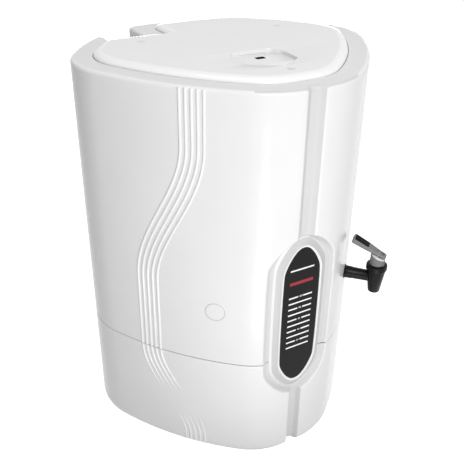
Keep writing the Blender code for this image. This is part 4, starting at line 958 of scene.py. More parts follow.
@dataclass
class Casing:
    """Upper casing and base: glossy white walls with the front relief."""

    plan: Plan
    heights: Heights
    relief: FrontRelief
    lid: LidOutline
    pocket: Pocket
    wall: float = 0.004
    nose_wall: float = 0.014
    rim_round: float = 0.0045
    round_steps: int = 6
    seam_round: float = 0.0006
    nip_share: float = 0.3
    ledge: float = 0.009
    lid_gap: float = 0.001
    corner_gap: float = 0.0005
    foot_inset: float = 0.008
    foot_rise: float = 0.012
    foot_steps: int = 8
    tongue: float = 0.008
    recess_half: float = 0.048
    recess_low: float = 0.016
    recess_high: float = 0.074
    recess_deep: float = 0.034
    recess_rows: int = 16
    recess_shares: Point = (0.7, 1.0)
    # how far sunk a face must lie to take the painted shade
    shade_from: float = 0.0012
    shade_to: float = 0.0125
    shade_samples: int = 400
    joint_inset: float = 0.0012
    relief_half: float = 0.062
    relief_reach: float = 0.066
    relief_top: float = 0.332
    relief_pitch: float = 0.00125
    plain_low: float = 0.336
    plain_rows: int = 12
    edge_rows: int = 6
    recess_clear: float = 0.0012
    pitches: tuple[float, ...] = (0.004, 0.003, 0.003, 0.003, 0.00075, 0.003, 0.004)
    smooth_angle: float = 35.0
    rim_angle: float = 30.0

    def recess_corner(self) -> float:
        """The place where the drain recess's right side meets the wall."""
        return self.plan.crossing(self.recess_shares, 0, self.recess_half)

    def columns(self) -> np.ndarray:
        """Places of the wall's columns, anticlockwise from the rear's middle on the left.

        Returns:
            The places.
        """
        half, corner = self.plan.half_length, self.recess_corner()
        left, right = self.pocket.tangents()
        stops = [-half, -corner, right, left, -self.relief_half, self.relief_half, corner, half]
        stretches = []
        for start, end, pitch in zip(stops, stops[1:], self.pitches):
            count = max(2, round((end - start) / pitch))
            stretches.append(np.linspace(start, end, count, endpoint=False))
        return np.concatenate(stretches)

    def middles(self, places: np.ndarray) -> np.ndarray:
        """The middle of the cell after each column; the last cell's is the rear's middle."""
        return np.append((places[:-1] + places[1:]) / 2, self.plan.half_length)

    def row(self, places: np.ndarray, height: float, inset: float) -> np.ndarray:
        """Points of the outer wall at one height.

        Args:
            places: The columns.
            height: Z.
            inset: Extra distance inside the plan, for rounded edges.

        Returns:
            An array of shape (n, 3).
        """
        depth = np.zeros(len(places))
        near = np.abs(places) < self.relief_reach
        depth[near] = self.relief.depth(places[near], np.full(near.sum(), height))
        points = self.plan.sample(places, inset + depth)
        return np.column_stack((points, np.full(len(places), height)))

    def inner_row(self, places: np.ndarray, height: float) -> np.ndarray:
        """Points of the inner wall, with its flat front.

        Args:
            places: The columns.
            height: Z.

        Returns:
            An array of shape (n, 3).
        """
        points = self.plan.sample(places, self.wall)
        points[:, 1] = np.maximum(points[:, 1], self.plan.front + self.nose_wall)
        return np.column_stack((points, np.full(len(points), height)))

    def paint_shade(self, piece: bpy.types.Object) -> None:
        """Paints shade onto the faces in the sunk collar and channel: a darker, rougher copy of the casing's
        white.

        Args:
            piece: The dressed wall.
        """
        edge = self.plan.sample(np.linspace(-self.relief_reach, self.relief_reach, self.shade_samples))
        piece.data.materials.append(Paint.RECESS_SHADE.material())
        for face in piece.data.polygons:
            x, y, _ = face.center
            # faces sunk behind the plan take the painted shade
            sunk = self.shade_from < y - np.interp(x, *edge.T) < self.shade_to
            face.material_index = int(sunk and abs(x) < edge[-1, 0] and y < 0)

    def upper(self) -> None:
        """The upper casing's wall, with the rim's edge, inner wall and pocket."""
        heights, places = self.heights, self.columns()
        low, edge = heights.seam + heights.seam_gap / 2, heights.rim - self.rim_round
        nip = self.seam_round * self.nip_share
        plain = [*np.arange(low + self.seam_round, self.relief_top, self.relief_pitch)]
        plain += [*np.linspace(self.plain_low, heights.pocket_floor, self.plain_rows)]
        levels = [(low, self.seam_round), (low + nip, nip), *((z, 0.0) for z in plain)]
        floor_row = len(levels) - 1
        levels += [(z, 0.0) for z in np.linspace(heights.pocket_floor, edge, self.edge_rows)[1:-1]]
        rounding = quarter(self.rim_round, self.rim_round, self.round_steps)
        levels += [(edge + rise, inset) for inset, rise in rounding]
        left, right = self.pocket.tangents()
        middles = self.middles(places)
        notch = (middles > right) & (middles < left)
        skin = Skin("upper_casing", Body.CASING, Paint.CASING)
        rows = [self.row(places, height, inset) for height, inset in levels]
        skin.loft(rows, skip=lambda row, column: row >= floor_row and notch[column])
        inner_levels = (low, heights.pocket_floor - self.wall, heights.rim - heights.rim_plate)
        inner = [rows[0], *(self.inner_row(places, height) for height in inner_levels)]
        skin.loft(inner, skip=lambda row, column: row == len(inner) - 2 and notch[column])
        self.line_pocket(skin, places)
        # painted shade in the sunk collar and channel
        self.paint_shade(skin.done("upper_housing", angle=self.smooth_angle))

    def line_pocket(self, skin: Skin, places: np.ndarray) -> None:
        """Adds the pocket's walls and floor.

        Args:
            skin: The upper casing's skin.
            places: The wall's columns.
        """
        heights, path = self.heights, self.pocket.path
        left, right = self.pocket.tangents()
        edge = heights.rim - self.rim_round
        rounding = quarter(self.rim_round, self.rim_round, self.round_steps)
        levels = [(heights.pocket_floor, 0.0), *((edge + rise, inset) for inset, rise in rounding)]
        skin.loft([level(path(grow), height) for height, grow in levels], closed=False)
        between = places[(places > right + JUST) & (places < left - JUST)]
        skin.fill([[*path(0.0), *self.plan.sample(between[::-1])]], heights.pocket_floor)

    def rim(self) -> None:
        """The rim's level top, the lid's rebate and the mouth under it."""
        heights, places, ring = self.heights, self.columns(), self.lid.ring
        left, right = self.pocket.tangents()
        skin = Skin("casing_rim", Body.CASING, Paint.RIM)
        around = np.concatenate((places[places >= left - JUST], places[places <= right + JUST]))
        outer = self.row(around, heights.rim, self.rim_round)[:, :2]
        path = self.pocket.path(self.rim_round)
        line_y = self.pocket.front_y + self.plan.shift + self.lid_gap
        descending = [p for p in path[: len(path) // 2] if p[1] > line_y]
        ascending = [p for p in path[len(path) // 2 :] if p[1] > line_y]
        first_x, last_x = descending[-1][0], ascending[0][0]
        main, rear, down, turn, across, bend, side = self.lid.parts(-self.lid_gap)
        near = [p for p in across if p[0] > first_x + self.corner_gap]
        far = [p for p in across if p[0] < last_x - self.corner_gap]
        lid_side = [*far, *bend, *side, *main, *rear, *down, *turn, *near][::-1]
        top = [*outer, *descending, (first_x, line_y), *lid_side, (last_x, line_y), *ascending]
        skin.fill([top], heights.rim)
        shelf, under = heights.rim - heights.rebate, heights.rim - heights.rim_plate
        steps = [(-self.lid_gap, height) for height in (heights.rim, shelf)]
        steps += [(self.ledge, height) for height in (shelf, under)]
        skin.loft([ring(grow, height) for grow, height in steps])
        skin.done(angle=self.rim_angle)

    def base(self) -> None:
        """The base's wall, rounded foot, floor, tongue and drain recess; the lip and tongue behind the seam
        are painted near-black as the gap's shade.
        """
        heights, places = self.heights, self.columns()
        high = heights.seam - heights.seam_gap / 2
        nip = self.seam_round * self.nip_share
        foot = quarter(self.foot_rise, self.foot_inset, self.foot_steps)
        levels = [(heights.floor + rise, self.foot_inset - out) for rise, out in foot]
        first = len(levels)
        levels += [(z, 0.0) for z in np.linspace(self.recess_low, self.recess_high, self.recess_rows)]
        last = len(levels) - 1
        plain = np.arange(self.recess_high + self.recess_clear, high - self.seam_round, self.relief_pitch)
        levels += [*((z, 0.0) for z in plain), (high - nip, nip), (high, self.seam_round)]
        rows = [self.row(places, height, inset) for height, inset in levels]
        corner = self.recess_corner()
        recess = np.abs(self.middles(places)) > corner
        skin = Skin("base_casing", Body.CASING, Paint.CASING)
        skin.loft(rows, skip=lambda row, column: first <= row < last and recess[column])
        skin.fill([rows[0][:, :2]], heights.floor)
        tongue = self.inner_row(places, high)
        lip = self.row(places, high, self.joint_inset)
        skin.loft([rows[-1], lip])
        # the lip and tongue behind the seam's gap get painted shade
        joint = Skin("seam_gap_painted_shade", Body.CASING, Paint.SEAM_SHADE)
        joint.loft([lip, tongue, tongue + np.array((0.0, 0.0, self.tongue))])
        joint.done()
        self.line_recess(skin, places, corner)
        self.paint_shade(skin.done("base_housing", angle=self.smooth_angle))

    def line_recess(self, skin: Skin, places: np.ndarray, corner: float) -> None:
        """Adds the five faces of the drain recess.

        Args:
            skin: The base's skin.
            places: The wall's columns.
            corner: The place of the recess's side.
        """
        inner_y = self.plan.depth / 2 - self.recess_deep + self.plan.shift
        across = np.concatenate((places[places >= corner - JUST], places[places <= -corner + JUST]))
        edge = self.plan.sample(across)
        right, left = (edge[0][0], inner_y), (edge[-1][0], inner_y)
        for height in (self.recess_low, self.recess_high):
            skin.fill([[*edge, left, right]], height)
        levels = np.linspace(self.recess_low, self.recess_high, self.recess_rows)
        for ends in ((edge[0], right), (right, left), (left, edge[-1])):
            skin.loft([level(ends, z) for z in levels], closed=False)

    def build(self) -> None:
        """All of the casing."""
        self.upper()
        self.rim()
        self.base()


@dataclass
class WaveRibs:
    """Five parallel ribs that run down the left front in one long wave."""

    plan: Plan
    heights: Heights
    count: int = 5
    pitch: float = 0.0066
    radius: float = 0.0017
    proud: float = 0.0014
    upper_place: float = 0.132
    lower_place: float = 0.193
    foot_place: float = 0.134
    top_z: float = 0.428
    low_z: float = 0.255
    back_z: float = 0.152
    foot_z: float = 0.018
    fade_z: float = 0.078
    return_z: float = 0.066
    end_z: float = 0.010
    fade: float = 0.060
    step: float = 0.0035
    least_steps: int = 8
    seam_clear: float = 0.0004
    rim_clear: float = 0.0012
    slope_reach: float = 0.002
    smooth_angle: float = 60.0

    def middle(self, height: np.ndarray) -> np.ndarray:
        """The place of the bundle's middle line.

        Args:
            height: Z values.

        Returns:
            The place at each height.
        """
        down = eased((self.top_z - height) / (self.top_z - self.low_z))
        back = eased((self.back_z - height) / (self.back_z - self.foot_z))
        upper = self.upper_place + (self.lower_place - self.upper_place) * down
        lower = self.lower_place + (self.foot_place - self.lower_place) * back
        return np.where(height > self.back_z, upper, lower)

    def paths(
        self, high: float, low: float, fade_low: bool = False, fade_high: bool = False
    ) -> list[np.ndarray]:
        """The ribs' middle lines between two heights.

        Args:
            high: Upper Z.
            low: Lower Z.
            fade_low: Whether the ribs sink into the wall at the lower end.
            fade_high: Whether they sink at the upper end.

        Returns:
            One array of shape (n, 3) for each rib.
        """
        height = np.linspace(high, low, max(self.least_steps, round((high - low) / self.step)))
        reach = self.slope_reach
        slope = (self.middle(height + reach) - self.middle(height - reach)) / (2 * reach)
        share = np.ones(len(height))
        if fade_low:
            share = np.minimum(share, (height - low) / self.fade)
        if fade_high:
            share = np.minimum(share, (high - height) / self.fade)
        inset = self.radius - self.proud * eased(share)
        made = []
        for rib in range(self.count):
            aside = (rib - (self.count - 1) / 2) * self.pitch
            place = self.middle(height) + aside * np.hypot(1.0, slope)
            made.append(np.column_stack((self.plan.sample(-place, inset), height)))
        return made

    def build(self) -> None:
        """The upper ribs and the base's ribs."""
        seam, gap = self.heights.seam, self.heights.seam_gap / 2 + self.seam_clear
        groups = {
            "upper_wave_ribs": self.paths(self.heights.rim - self.rim_clear, seam + gap),
            "base_wave_ribs": [
                *self.paths(seam - gap, self.fade_z, fade_low=True),
                *self.paths(self.return_z, self.end_z, fade_high=True),
            ],
        }
        for name, paths in groups.items():
            skin = Skin(name, Body.CASING, Paint.RIB)
            for path in paths:
                sweep(skin, path, self.radius)
            skin.done(angle=self.smooth_angle)


# Lid and vent


@dataclass
class Lid:
    """The cover with its rounded edge and the sunk place for the vent, and the vent's cover."""

    plan: Plan
    heights: Heights
    outline: LidOutline
    low: float = 0.4908
    plug_low: float = 0.4843
    ledge: float = 0.010
    edge: float = 0.012
    rise: float = 0.006
    edge_steps: int = 10
    band_start: float = 8.0
    band_turn: float = 74.0
    band_lift: float = 0.00015
    vent_y: float = -0.066
    vent_half: float = 0.033
    vent_floor: float = 0.4900
    vent_bevel: float = 0.0008
    bevel_share: float = 0.3
    slot_ahead: float = 0.0100
    slot_half: Point = (0.006, 0.004)
    slot_round: float = 0.0025
    flange: float = 0.0253
    flange_low: float = 0.4850
    bore: float = 0.0213
    gap: float = 0.0004
    corner: float = 0.006
    seat_edge: tuple[Point, ...] = ((0.0007, 0.0), (0.0002, 0.0002), (0.0, 0.0007))
    screws: tuple[Point, ...] = ((0.0945, 0.058), (-0.0945, 0.058), (0.0, -0.1175))
    screw_radius: float = 0.0038
    screw_deep: float = 0.0035
    screw_steps: int = 24
    vent_shares: tuple[Point, ...] = (
        (0.0, -1.15), (0.97, -0.53), (1.0, 0.48), (0.74, 0.93), (-0.74, 0.93), (-1.0, 0.48), (-0.97, -0.53),
    )
    smooth_angle: float = 42.0
    band_angle: float = 60.0

    @property
    def centre(self) -> Point:
        """The vent's middle in X and Y."""
        return 0.0, self.vent_y + self.plan.shift

    def vent_outline(self, grow: float) -> list[Point]:
        """The sunk place's outline, grown outwards by a distance."""
        reach = self.vent_half + grow
        return rounded([(reach * x, self.centre[1] + reach * y) for x, y in self.vent_shares], self.corner)

    def cover(self) -> None:
        """The lid's shell, with the holes for its screws and the vent's seat."""
        rim, top = self.heights.rim, self.heights.lid_top
        steps = [(self.ledge, self.plug_low), (self.ledge, self.low), (0.0, self.low), (0.0, rim)]
        steps += [(inset, rim + rise) for inset, rise in quarter(self.edge, self.rise, self.edge_steps)[1:]]
        skin = Skin("lid_cover", Body.LID, Paint.LID)
        skin.loft([self.outline.ring(grow, height) for grow, height in steps])
        places = [(x, y + self.plan.shift) for x, y in self.screws]
        holes = [circle(self.screw_radius, place, self.screw_steps)[::-1] for place in places]
        seat = self.vent_outline(self.gap + self.seat_edge[0][0])
        skin.fill([self.outline.flat(self.edge), seat[::-1], *holes], top)
        self.seat_walls(skin)
        for hole in holes:
            skin.loft([level(hole, z) for z in (top, top - self.screw_deep)])
        skin.fill([self.outline.flat(self.ledge), circle(self.bore, self.centre)[::-1]], self.plug_low)
        skin.done("lid", angle=self.smooth_angle)

    def seat_walls(self, skin: Skin) -> None:
        """Adds the vent's seat: its wall, floor and the filter's bore.

        Args:
            skin: The lid's skin.
        """
        top, seat = self.heights.lid_top, self.vent_outline(self.gap)
        rings = [level(self.vent_outline(self.gap + grow), top - drop) for grow, drop in self.seat_edge]
        skin.loft([*rings, level(seat, self.vent_floor)])
        skin.fill([seat, circle(self.flange, self.centre)[::-1]], self.vent_floor)
        steps = [(self.flange, self.vent_floor), (self.flange, self.flange_low)]
        steps += [(self.bore, self.flange_low), (self.bore, self.plug_low)]
        skin.loft([level(circle(radius, self.centre), z) for radius, z in steps])

    def highlight_band(self) -> None:
        """A thin band on the lid's rounded edge: a lighter copy of the lid's white as a painted highlight,
        with a glossier finish.
        """
        # painted highlight along the lid's edge
        skin = Skin("lid_edge_highlight_band", Body.LID, Paint.LID_EDGE_HIGHLIGHT)
        rings = []
        for step in range(self.edge_steps + 1):
            turn = math.radians(self.band_start + self.band_turn * step / self.edge_steps)
            lift = self.band_lift * math.sin(math.pi * step / self.edge_steps)
            inset = self.edge * (1 - math.cos(turn)) - lift
            rings.append(self.outline.ring(inset, self.heights.rim + self.rise * math.sin(turn) + lift))
        skin.loft(rings)
        skin.done(angle=self.band_angle)

    def vent_cover(self) -> None:
        """The vent's plate with its breathing slot, whose walls are painted black as the slot's shade."""
        low, high = (corner[2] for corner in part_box("vent_cover"))
        across, along = self.slot_half
        middle = self.centre[1] + self.slot_ahead
        slot = box_loop((-across, middle - along), (across, middle + along), self.slot_round)
        bevel = self.vent_bevel
        nip = bevel * self.bevel_share
        skin = Skin("vent_plate", Body.VENT, Paint.LID)
        steps = ((0.0, low), (0.0, high - bevel), (-nip, high - nip), (-bevel, high))
        skin.loft([level(self.vent_outline(grow), z) for grow, z in steps])
        skin.fill([self.vent_outline(-bevel), slot[::-1]], high)
        skin.fill([self.vent_outline(0.0), slot[::-1]], low)
        # the slot's walls are painted black: painted shade
        slot_shade = Skin("vent_slot_painted_shade", Body.VENT, Paint.SLOT_SHADE)
        slot_shade.loft([level(slot, z) for z in (high, low)])
        slot_shade.done(angle=self.smooth_angle)
        skin.done("vent_cover", angle=self.smooth_angle)

    def build(self) -> None:
        """The lid, its edge and the vent's cover."""
        self.cover()
        self.highlight_band()
        self.vent_cover()


# Level display


@dataclass
class Display:
    """White bezel, black window with its border, and the scale's numbers."""

    plan: Plan
    sunk: float = 0.0035
    bezel_width: float = 0.0745
    bezel_bottom: float = 0.099
    bezel_top: float = 0.322
    window_width: float = 0.0508
    window_bottom: float = 0.1145
    window_top: float = 0.3078
    window_sunk: float = 0.00112
    window_deep: float = 0.002
    border: float = 0.0020
    # the stretch of the bezel that takes the painted shade
    flank_shade_shares: Point = (0.20, 0.80)
    numbers: tuple[int, ...] = (100, 80, 60, 40, 20)
    number_size: float = 0.0034
    number_half: float = 0.00005
    number_proud: float = 0.00008
    top_bar: float = 0.2408
    pitch: float = 0.00815
    smooth_angle: float = 50.0
    depth_by_share: tuple[Point, ...] = (
        (0.0, 0.0024), (0.010, 0.0009), (0.030, 0.0003), (0.070, 0.0001), (0.120, 0.0), (0.200, 0.0),
        (0.260, 0.0002), (0.310, 0.0005), (0.350, 0.0010), (0.400, 0.0015), (0.600, 0.0028), (0.740, 0.0036),
        (0.790, 0.0040), (0.830, 0.0045), (0.880, 0.0052), (0.940, 0.0060), (0.985, 0.0066), (1.0, 0.0070),
    )

    def upright(self, loop: Sequence[Point], back: float) -> list[Place]:
        """An outline in X and Z as points at a distance behind the bezel's lip."""
        front = self.plan.front + self.sunk
        return [(x, front + back, z) for x, z in loop]

    def bezel(self) -> None:
        """The ring: a rounded lip, a long slope with painted shade and a narrow flat at the outer edge."""
        window, bezel = (
            np.array(SixSided().outline(*sizes))
            for sizes in (
                (self.window_width, self.window_bottom, self.window_top),
                (self.bezel_width, self.bezel_bottom, self.bezel_top),
            )
        )
        skin = Skin("bezel_ring", Body.CASING, Paint.BEZEL)
        between = [(window * (1 - share) + bezel * share, depth) for share, depth in self.depth_by_share]
        skin.loft([self.upright(loop, depth) for loop, depth in between])
        piece = skin.done("display_bezel", angle=self.smooth_angle)
        # the sloped flank gets a darker copy of the white: painted shade
        piece.data.materials.append(Paint.FLANK_SHADE.material())
        centres = np.array([(face.center.x, face.center.z) for face in piece.data.polygons])
        inner, outer = (window * (1 - share) + bezel * share for share in self.flank_shade_shares)
        flank_shade = (inside_depth(centres, outer) > 0) & (inside_depth(centres, inner) <= 0)
        for face, paint_shade in zip(piece.data.polygons, flank_shade):
            face.material_index = int(paint_shade)

    def window(self) -> None:
        """The black window, just behind the scale's bars, and its darker border."""
        low, high = self.window_bottom, self.window_top
        window = np.array(SixSided().outline(self.window_width, low, high))
        centre = np.array((0.0, (low + high) / 2))
        inner = centre + (window - centre) * (1 - 2 * self.border / np.array((self.window_width, high - low)))
        border = Skin("window_border", Body.CASING, Paint.PANEL_EDGE)
        steps = ((window, self.window_deep), (window, 0.0), (inner, 0.0))
        border.loft([self.upright(loop, self.window_sunk + back) for loop, back in steps])
        border.done()
        skin = Skin("window_face", Body.CASING, Paint.PANEL)
        skin.fill([inner], -self.plan.front - self.sunk - self.window_sunk)
        skin.done("display_window", place=Matrix.Rotation(math.pi / 2, 4, "X"))

    def scale(self) -> None:
        """The generic percentages in the breaks of the scale."""
        front = self.plan.front + self.sunk + self.window_sunk - self.number_proud
        for index, value in enumerate(self.numbers):
            name = f"scale_number_{value}"
            text = bpy.data.curves.new(name, "FONT")
            text.body = str(value)
            text.size = self.number_size
            text.align_x, text.align_y = "CENTER", "CENTER"
            text.extrude = self.number_half
            piece = bpy.data.objects.new(name, text)
            piece.location = (0.0, front, self.top_bar - 2 * self.pitch * index)
            piece.rotation_euler = (math.pi / 2, 0.0, 0.0)
            dress(piece, Body.CASING, Paint.BAR)

    def build(self) -> None:
        """All of the display's front."""
        self.bezel()
        self.window()
        self.scale()


# Tap


@dataclass
class Tap:
    """The dispensing tap: barrel and shank, cap, and the lever with its finger pad."""

    reach: float = 0.040
    pivot_rise: float = 0.034
    barrel: float = 0.0132
    tip: float = 0.0072
    top: float = 0.0195
    bottom: float = 0.0205
    collar: float = 0.0065
    barrel_edge: tuple[Point, ...] = ((0.0012, 0.0), (0.0003, 0.0004), (0.0, 0.0013))
    collar_edge: tuple[Point, ...] = ((0.0, 0.0), (0.0003, 0.0004), (0.0011, 0.0007))
    tip_edge: tuple[Point, ...] = ((-0.0003, 0.0012), (0.0002, 0.0004), (0.0008, 0.0))
    bore: float = 0.0082
    bore_deep: float = 0.004
    cup: float = 0.0069
    cup_low: float = 0.007
    cup_high: float = 0.016
    spout: float = 0.0045
    spout_edge: Point = (0.0004, 0.0005)
    shank_root: float = 0.0085
    shank_tip: float = 0.0072
    shank_edge: tuple[Point, ...] = (
        (0.0003, 0.0006), (0.0012, 0.0006), (0.0016, 0.0002),
        (0.0020, -0.0004), (0.010, -0.0007), (0.0105, -0.0010),
    )
    inside: float = 0.031
    thread: float = 0.0077
    thread_pitch: float = 0.0016
    thread_start: float = 0.0006
    thread_shares: tuple[Point, ...] = ((0.25, 0.0), (0.55, 0.0), (0.8, 0.0006))
    thread_end: float = 0.0007
    bonnet: float = 0.0094
    bonnet_rise: float = 0.0133
    bonnet_slope: float = math.radians(24)
    bonnet_gap: float = 0.0003
    bonnet_clear: float = 0.0008
    bonnet_ribs: int = 4
    rib_pitch: float = 0.0018
    rib_edge_shares: tuple[Place, ...] = (
        (0.0004, 0.0, 0.0), (0.0, 0.0, 0.0003), (0.0, 1.0, -0.0006), (0.0004, 1.0, -0.0003),
    )
    top_edge: tuple[Point, ...] = ((0.0, 0.0006), (0.0003, 0.0001), (0.0009, 0.0))
    least_rise: float = 0.0001
    stem: float = 0.0020
    stem_clear: float = 0.0004
    well_clear: float = 0.0026
    well_deep: float = 0.005
    washer_inset: float = 0.0005
    washer_thick: float = 0.0009
    lever_slope: float = math.radians(26.5)
    lever_lift: float = 0.0012
    lever_length: float = 0.047
    lever_edge: tuple[Point, ...] = ((0.0008, 0.0), (0.0002, 0.0003), (0.0, 0.0009))
    lever_round: float = 0.0022
    heel: float = 0.0105
    thick: float = 0.0048
    width: float = 0.0165
    heel_width: float = 0.0105
    blade: float = 0.022
    blade_taper: float = 0.0006
    wedge: float = 0.60
    fork_low: float = 0.0030
    fork_high: float = 0.0070
    fork_round: float = 0.0006
    pad_places: Point = (0.0016, 0.0215)
    pad_insets: Point = (0.0018, 0.0024)
    pad_round: float = 0.0016
    pad_root: float = 0.0004
    pad_edge: tuple[Point, ...] = ((0.0, 0.0002), (0.0, 0.0007), (0.0004, 0.0010))
    curve_steps: int = 4
    shank_steps: int = 48
    barrel_steps: int = 72
    barrel_angle: float = 35.0
    cap_angle: float = 32.0
    lever_angle: float = 38.0

    def place(self) -> Matrix:
        """The tap's frame on the wall, from the lever's joint.

        Returns:
            The frame: X outwards, Z up.
        """
        joint = next(j for j in frame["record"]["behaviour"]["joints"] if j["name"] == "lever_tilt")
        axis, (x, y, z) = joint["axis"], joint["pos_m"]
        turn = math.atan2(-axis[0], axis[1])
        across, along = self.reach * math.cos(turn), self.reach * math.sin(turn)
        root = (x - across, y - along, z - self.pivot_rise)
        return Matrix.Translation(root) @ Matrix.Rotation(turn, 4, "Z")

    def above(self, rise: float = 0.0) -> Matrix:
        """The tap's frame, moved out to the barrel's axis and up."""
        return self.place() @ Matrix.Translation((self.reach, 0.0, rise))

    def shank(self) -> None:
        """The shank with its flange, and the thread inside the casing."""
        pitch, thread = self.thread_pitch, self.thread
        ends = [(-self.inside, self.spout), (-self.inside, thread - self.thread_end)]
        for index in range(int(self.inside / pitch)):
            start = self.thread_start - self.inside + pitch * index
            ends += [(start + pitch * share, thread - deep) for share, deep in self.thread_shares]
        ends += [(along, self.shank_root + rise) for along, rise in self.shank_edge]
        ends.append((self.reach - self.bore, self.shank_tip))
        skin = Skin("tap_shank", Body.CASING, Paint.BLACK)
        turned(skin, [(radius, along) for along, radius in ends], self.shank_steps)
        skin.done(place=self.place() @ Matrix.Rotation(math.pi / 2, 4, "Y"), angle=self.barrel_angle)

    def body(self) -> None:
        """The barrel with its collar, seat and spout."""
        low, top = -self.bottom, self.top
        inward, up = self.spout_edge
        profile = [(self.bore, top - self.bore_deep), (self.bore, top)]
        profile += [(self.barrel - inset, top - drop) for inset, drop in self.barrel_edge]
        profile += [(self.barrel - inset, top - self.collar - drop) for inset, drop in self.collar_edge]
        profile += [(self.tip - inset, low + rise) for inset, rise in self.tip_edge]
        profile += [(self.spout + inward, low), (self.spout, low + up), (self.spout, low + self.cup_low)]
        profile += [(self.cup, low + self.cup_low), (self.cup, low + self.cup_high)]
        skin = Skin("tap_barrel", Body.CASING, Paint.BLACK)
        turned(skin, profile, self.barrel_steps)
        skin.done("tap_body", place=self.above(), angle=self.barrel_angle)

    def cap_top(self, x: float) -> float:
        """The cap's sloped top at a distance outwards from the barrel's axis."""
        return self.pivot_rise - self.thick / 2 - self.bonnet_clear - x * math.tan(self.bonnet_slope)

    def cap_level(self, x: float) -> float:
        """The cap's top with the slope's high side cut off level."""
        return min(self.cap_top(x), self.top + self.bonnet_gap + self.bonnet_rise)

    def highlight_washer(self) -> None:
        """The thin white washer on the cap's sloped top, a painted highlight for the light line between the
        cap and the lever.
        """
        well, edge, high = self.stem + self.well_clear, self.bonnet - self.washer_inset, self.washer_thick
        rings = []
        for radius, rise in ((well, 0.0), (edge, 0.0), (edge, high), (well, high)):
            rings.append([(x, y, self.cap_level(x) + rise) for x, y in circle(radius)])
        # its white stands in for a highlight line: painted highlight
        skin = Skin("tap_cap_highlight_washer", Body.CASING, Paint.WHITE_PART)
        skin.loft(rings)
        skin.done(place=self.above())

    def cap(self) -> None:
        """The grey cap, ribbed, with its sloped top and the well round the stem."""
        base, rings = self.top + self.bonnet_gap, []
        for index in range(self.bonnet_ribs):
            for inset, share, rise in self.rib_edge_shares:
                height = base + self.rib_pitch * index + (self.rib_pitch * share + rise)
                rings.append(level(circle(self.bonnet - inset), height))
        for inset, drop in self.top_edge:
            least = rings[-1][0][2] + self.least_rise
            loop = circle(self.bonnet - inset)
            rings.append([(x, y, max(self.cap_level(x) - drop, least)) for x, y in loop])
        well, floor = circle(self.stem + self.well_clear), self.cap_top(0.0) - self.well_deep
        rings.append([(x, y, self.cap_top(x)) for x, y in well])
        rings += [level(well, floor), level(circle(self.stem + self.stem_clear), floor)]
        skin = Skin("tap_cap", Body.CASING, Paint.GREY)
        skin.loft(rings)
        skin.done("tap_bonnet", place=self.above(), angle=self.cap_angle)

    def lever_outline(self, shrink: float) -> list[Point]:
        """The lever's outline from above, in its own frame.

        Args:
            shrink: How far inside the full outline.

        Returns:
            Its points.
        """
        tip, heel = self.heel - self.lever_length + shrink, self.heel - shrink
        wide, narrow = self.width / 2 - shrink, self.heel_width / 2 - shrink
        side = [(tip, wide), (tip + self.blade, wide - self.blade_taper), (0.0, narrow), (heel, narrow)]
        return rounded([*((x, -y) for x, y in side), *side[::-1]], self.lever_round, self.curve_steps)

    def lever(self) -> None:
        """The lever with its wedge-shaped blade and the fork round the stem's eye."""
        half, fork = self.thick / 2, self.stem + self.stem_clear
        slot = box_loop((-self.fork_low, -fork), (self.fork_high, fork), self.fork_round, 3)
        skin = Skin("lever_arm", Body.LEVER, Paint.GREY)
        steps = [(shrink, -half + deep) for shrink, deep in self.lever_edge]
        steps += [(shrink, half - deep) for shrink, deep in self.lever_edge[::-1]]
        skin.loft([level(self.lever_outline(shrink), z) for shrink, z in steps])
        for z in (-half, half):
            skin.fill([self.lever_outline(self.lever_edge[0][0]), slot[::-1]], z)
        skin.loft([level(slot, z) for z in (-half, half)])
        tip = self.heel - self.lever_length
        for vert in skin.shape.verts:
            if vert.co.z < 0:
                vert.co.z *= 1 + self.wedge * (1 - 2 * (vert.co.x - tip) / self.lever_length)
        skin.done("tap_lever", place=self.lever_place(), angle=self.lever_angle)

    def lever_place(self) -> Matrix:
        """The closed lever's frame."""
        return self.above(self.pivot_rise + self.lever_lift) @ Matrix.Rotation(self.lever_slope, 4, "Y")

    def pad(self) -> None:
        """The black finger pad on the lever's blade."""
        tip, wide = self.heel - self.lever_length, self.width / 2
        rings = []
        for shrink, rise in self.pad_edge:
            low, high = tip + self.pad_places[0] + shrink, tip + self.pad_places[1] - shrink
            outer, inner = (wide - inset - shrink for inset in self.pad_insets)
            corners = [(low, -outer), (high, -inner), (high, inner), (low, outer)]
            loop = rounded(corners, self.pad_round, self.curve_steps)
            rings.append(level(loop, self.thick / 2 - self.pad_root + rise))
        skin = Skin("lever_pad", Body.LEVER, Paint.PAD)
        skin.loft(rings)
        skin.fill([loop], rings[-1][0][2])
        skin.done(place=self.lever_place(), angle=self.lever_angle)

    def build(self) -> None:
        """All of the tap that is dressed anew."""
        for make in (self.shank, self.body, self.highlight_washer, self.cap, self.lever, self.pad):
            make()


